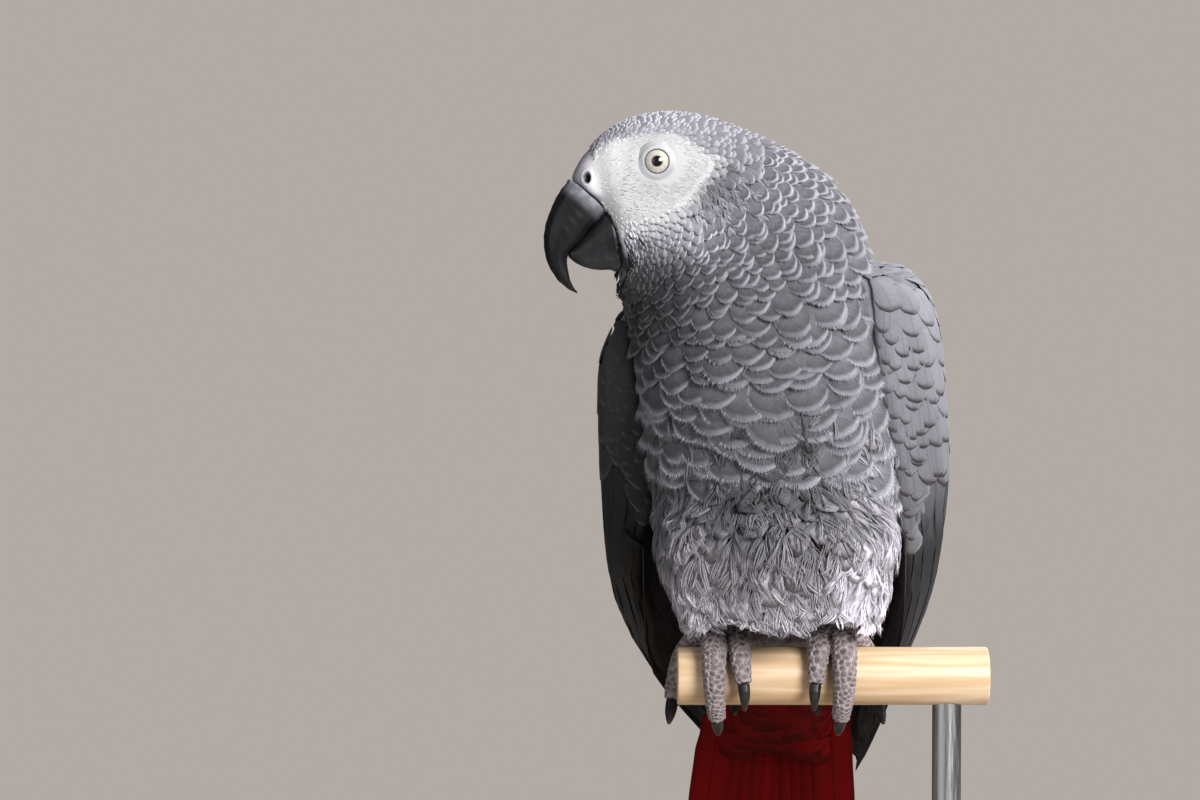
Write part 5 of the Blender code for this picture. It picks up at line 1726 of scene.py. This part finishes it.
def lay_scales(look):
    """Small domed scales over the toes and shanks, largest on their tops."""
    points, faces, _ = foot_skin()
    normals = vertex_normals(points, faces)
    order = np.random.default_rng(3).permutation(len(points))
    up = smooth_step(-0.2, 0.8, normals[:, 1] * -0.5 + normals[:, 2] * 0.85)
    want = 1.05 + 0.85 * up
    taken, cells = [], {}
    for k in order:
        key = tuple((points[k] // 2.0).astype(int))
        near = [m for a in (-1, 0, 1) for b in (-1, 0, 1) for c in (-1, 0, 1)
                for m in cells.get((key[0] + a, key[1] + b, key[2] + c), ())]
        if all(np.linalg.norm(points[k] - points[m]) > (want[k] + want[m]) / 2 for m in near):
            taken.append(k)
            cells.setdefault(key, []).append(k)
    taken = np.array(taken)
    centres, normal, size = points[taken], normals[taken], want[taken]
    aside = unit(np.cross(normal, (0.31, 0.87, 0.12)))
    other = np.cross(normal, aside)
    many, sides = len(taken), 9
    turn = turns(sides)
    aims = np.cos(turn)[None, :, None] * aside[:, None] + np.sin(turn)[None, :, None] * other[:, None]
    reach = np.zeros((many, sides))
    for k in range(many):
        away = centres - centres[k]
        far = (away ** 2).sum(1)
        far[k] = 99.0
        close = np.argsort(far)[:12]
        toward = np.maximum(aims[k] @ away[close].T, 1e-3)
        reach[k] = np.minimum((far[close][None] / (2 * toward)).min(1), 0.85 * size[k])
    rings = []
    for share, high in ((0.98, -0.12), (0.86, 0.10), (0.58, 0.24)):
        ring = (reach * share)[..., None] * aims
        rings.append(centres[:, None] + ring + (normal * (high * size)[:, None])[:, None])
    base = centres - normal * 0.4
    tip = centres + normal * (0.27 * size)[:, None]
    spots = np.concatenate([*rings, tip[:, None], base[:, None]], 1)
    shape = ring_faces(3, sides)
    shape += [(2 * sides + j, 2 * sides + (j + 1) % sides, 3 * sides) for j in range(sides)]
    shape += [((j + 1) % sides, j, 3 * sides + 1) for j in range(sides)]
    dice = np.random.default_rng(4)
    each = 3 * sides + 2
    tint = SCALE_BROWN * dice.uniform(0.6, 1.6, many)[:, None]
    tint = np.repeat(tint[:, None], each, 1)
    tint[:, :sides] = SCALE_GAP
    tint[:, sides:2 * sides] = tint[:, sides:2 * sides] * 0.15 + SCALE_GAP * 0.85
    tint[:, 2 * sides:3 * sides] = tint[:, 2 * sides:3 * sides] * 0.75 + SCALE_GAP * 0.25
    pile = Pile("foot_scales")
    row, angle = locate(centres)
    place = UNWRAP[0] + UNWRAP[1] * np.stack([angle / (2 * math.pi) % 1.0, row / SPINE_ROWS], -1)
    sizes = np.array([len(f) for f in shape])
    flat = np.concatenate([np.array(f) for f in shape])
    pile.points.append(spots.reshape(-1, 3))
    pile.loops.append((np.arange(many)[:, None] * each + flat[None]).ravel())
    pile.sizes.append(np.tile(sizes, many))
    pile.flats.append(np.zeros(len(shape) * many, bool))
    pile.tints.append(tint.reshape(-1, 3))
    spot = np.concatenate([np.stack([np.cos(turn), np.sin(turn)], -1) * r for r in (0.5, 0.4, 0.25)]
                          + [np.zeros((2, 2))])
    pile.vane.append(np.tile(spot + 0.5, (many, 1)))
    pile.barb.append(np.tile(spot / 100, (many, 1)))
    pile.patch.append((place[:, None] + spot[None] * PATCH).reshape(-1, 2))
    pile.build(look)


# ---------------------------------------------------------------- perch and stand


def lathe(name, centre, axis, profile, sides=96):
    """A turned solid: rings of (along, radius) about an axis."""
    axis = unit(np.array(axis, float))
    other = unit(np.cross(axis, (0.3, 0.5, 0.7)))
    third = np.cross(axis, other)
    angle = turns(sides)
    ring = np.cos(angle)[:, None] * other + np.sin(angle)[:, None] * third
    points = [centre + axis * along + ring * radius for along, radius in profile]
    points = np.concatenate([*points, [centre + axis * profile[0][0], centre + axis * profile[-1][0]]])
    mesh = solid_mesh(name, points, closed_rings(len(profile), sides, len(points) - 2, len(points) - 1))
    mesh.set_sharp_from_angle(angle=math.radians(50))
    return mesh


def edge_round(start, end, radius, bevel, steps=4):
    """A straight profile whose two ends are rounded off."""
    turn = np.linspace(0, math.pi / 2, steps)
    near = [(start + bevel * (1 - math.cos(a)), radius - bevel * (1 - math.sin(a))) for a in turn]
    far = [(end - bevel * (1 - math.cos(a)), radius - bevel * (1 - math.sin(a))) for a in turn[::-1]]
    return [*near, *far]


def centre_and_halves(box):
    """A box's centre and half its size along each axis, in millimetres."""
    low, high = (np.array(c) / MM for c in box)
    return (low + high) / 2, (high - low) / 2


def make_perch(look):
    centre, (half, _, radius) = centre_and_halves(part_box("perch"))
    mesh = lathe("perch_dowel", centre, (1, 0, 0), edge_round(-half, half, radius, 0.7))
    finish_piece("perch_dowel", mesh, look, ["perch"])


def make_stand(wood, steel):
    centre, (radius, _, half) = centre_and_halves(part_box("stand_base"))
    mesh = lathe("stand_disc", centre, (0, 0, 1), edge_round(-half, half, radius, 2.5, 7))
    finish_piece("stand_disc", mesh, wood, ["stand_base"])
    centre, (radius, _, half) = centre_and_halves(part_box("stand_rod"))
    collar = [(-half, radius * 1.0), (-half + 0.4, radius * 1.9), (-half + 3.0, radius * 1.9),
              (-half + 3.6, radius * 1.7), (-half + 3.6, radius), (half, radius)]
    mesh = lathe("stand_post", centre, (0, 0, 1), collar, 64)
    finish_piece("stand_post", mesh, steel, ["stand_rod"])


# ---------------------------------------------------------------- camera, lights and floor

CAMERA_FROM_PERCH = np.array((-62.0, -1100.0, 132.0))
CAMERA_PITCH = 1.9  # degrees downwards
CAMERA_LENS = 95.7
LIGHT_AIM = Vector((0.0, 0.0, 0.22))


def make_camera():
    """A camera a little above the perch, looking along Y and slightly down."""
    camera = bpy.data.objects.new("camera", bpy.data.cameras.new("camera"))
    bpy.context.scene.collection.objects.link(camera)
    camera.location = (PERCH_LINE + CAMERA_FROM_PERCH) * MM
    camera.rotation_euler = (math.radians(90 - CAMERA_PITCH), 0, 0)
    camera.data.lens = CAMERA_LENS
    camera.data.sensor_width = 36
    bpy.context.scene.camera = camera


def area_light(name, direction, distance, size, power, color):
    light = bpy.data.lights.new(name, "AREA")
    light.shape = "DISK"
    light.size = size
    light.energy = power
    light.color = color
    lamp = bpy.data.objects.new(name, light)
    bpy.context.scene.collection.objects.link(lamp)
    lamp.location = LIGHT_AIM + Vector(direction).normalized() * distance
    lamp.rotation_euler = (LIGHT_AIM - lamp.location).to_track_quat("-Z", "Y").to_euler()


def make_stage():
    area_light("key_light", (0.46, -0.83, 0.30), 1.6, 0.70, 33, (1.0, 0.99, 0.97))
    area_light("side_light", (0.87, 0.0, 0.50), 1.6, 0.8, 18, (0.98, 0.99, 1.0))
    area_light("fill_light", (-0.75, -0.66, 0.15), 1.8, 2.0, 7.5, (1.0, 0.99, 0.98))
    area_light("back_light", (0.30, 0.90, 0.35), 1.7, 1.4, 12, (0.98, 0.99, 1.0))
    world = bpy.data.worlds.new("studio")
    bpy.context.scene.world = world
    world.use_nodes = True
    tree = world.node_tree
    backdrop = tree.nodes["Background"]
    backdrop.inputs["Color"].default_value = (0.445, 0.407, 0.376, 1)
    ambient = add(tree, "ShaderNodeBackground")
    ambient.inputs["Color"].default_value = (0.06, 0.06, 0.064, 1)
    seen = add(tree, "ShaderNodeLightPath")
    mixed = add(tree, "ShaderNodeMixShader", seen.outputs["Is Camera Ray"], ambient.outputs[0],
                backdrop.outputs[0])
    tree.links.new(mixed.outputs[0], tree.nodes["World Output"].inputs["Surface"])
    bpy.context.scene.view_settings.view_transform = "Standard"
    bpy.ops.mesh.primitive_circle_add(vertices=96, radius=0.42, fill_type="NGON")
    floor = bpy.context.object
    floor.name = "floor"
    look, nodes, shader = new_look("pale_floor")
    cloudy = noise(nodes, object_place(nodes), 9.0, 2.0)
    color = mixed_color(nodes, cloudy, (0.43, 0.41, 0.39), (0.41, 0.39, 0.37))
    nodes.links.new(color, shader.inputs["Base Color"])
    set_inputs(shader, Roughness=0.9, Specular_IOR_Level=0.1)
    floor.data.materials.append(look)


# ---------------------------------------------------------------- making the pieces

make_camera()
make_stage()
HEAD_SKIN = head_skin()
LOOKS = {key: feather_look(*marks) for key, marks in FEATHER_LOOKS.items()}
make_skin()
lay_scales(LOOKS["scales"])
lay_body(LOOKS)
lay_curtain(LOOKS["curtain"])
lay_face(LOOKS["face"])
lay_chin(LOOKS["chin"])
for side in WINGS:
    lay_coverts(side, WING_SURFACES[side], LOOKS["coverts"])
    lay_flight(side, WING_SURFACES[side], LOOKS["flight"])
lay_tail(LOOKS["tail"])
EYE_GLOSS = eye_look()
for side in EYES:
    make_eye(side, EYE_GLOSS)
HORN_GLOSS = horn_look()
make_upper_bill(HORN_GLOSS)
make_lower_bill(HORN_GLOSS)
make_claws(HORN_GLOSS)
make_perch(wood_look("pine", (0.88, 0.69, 0.48), (0.60, 0.37, 0.18), 75.0, 0.07))
make_stand(wood_look("stand_wood", (0.42, 0.27, 0.15), (0.25, 0.14, 0.07), 22.0, 0.12), steel_look())
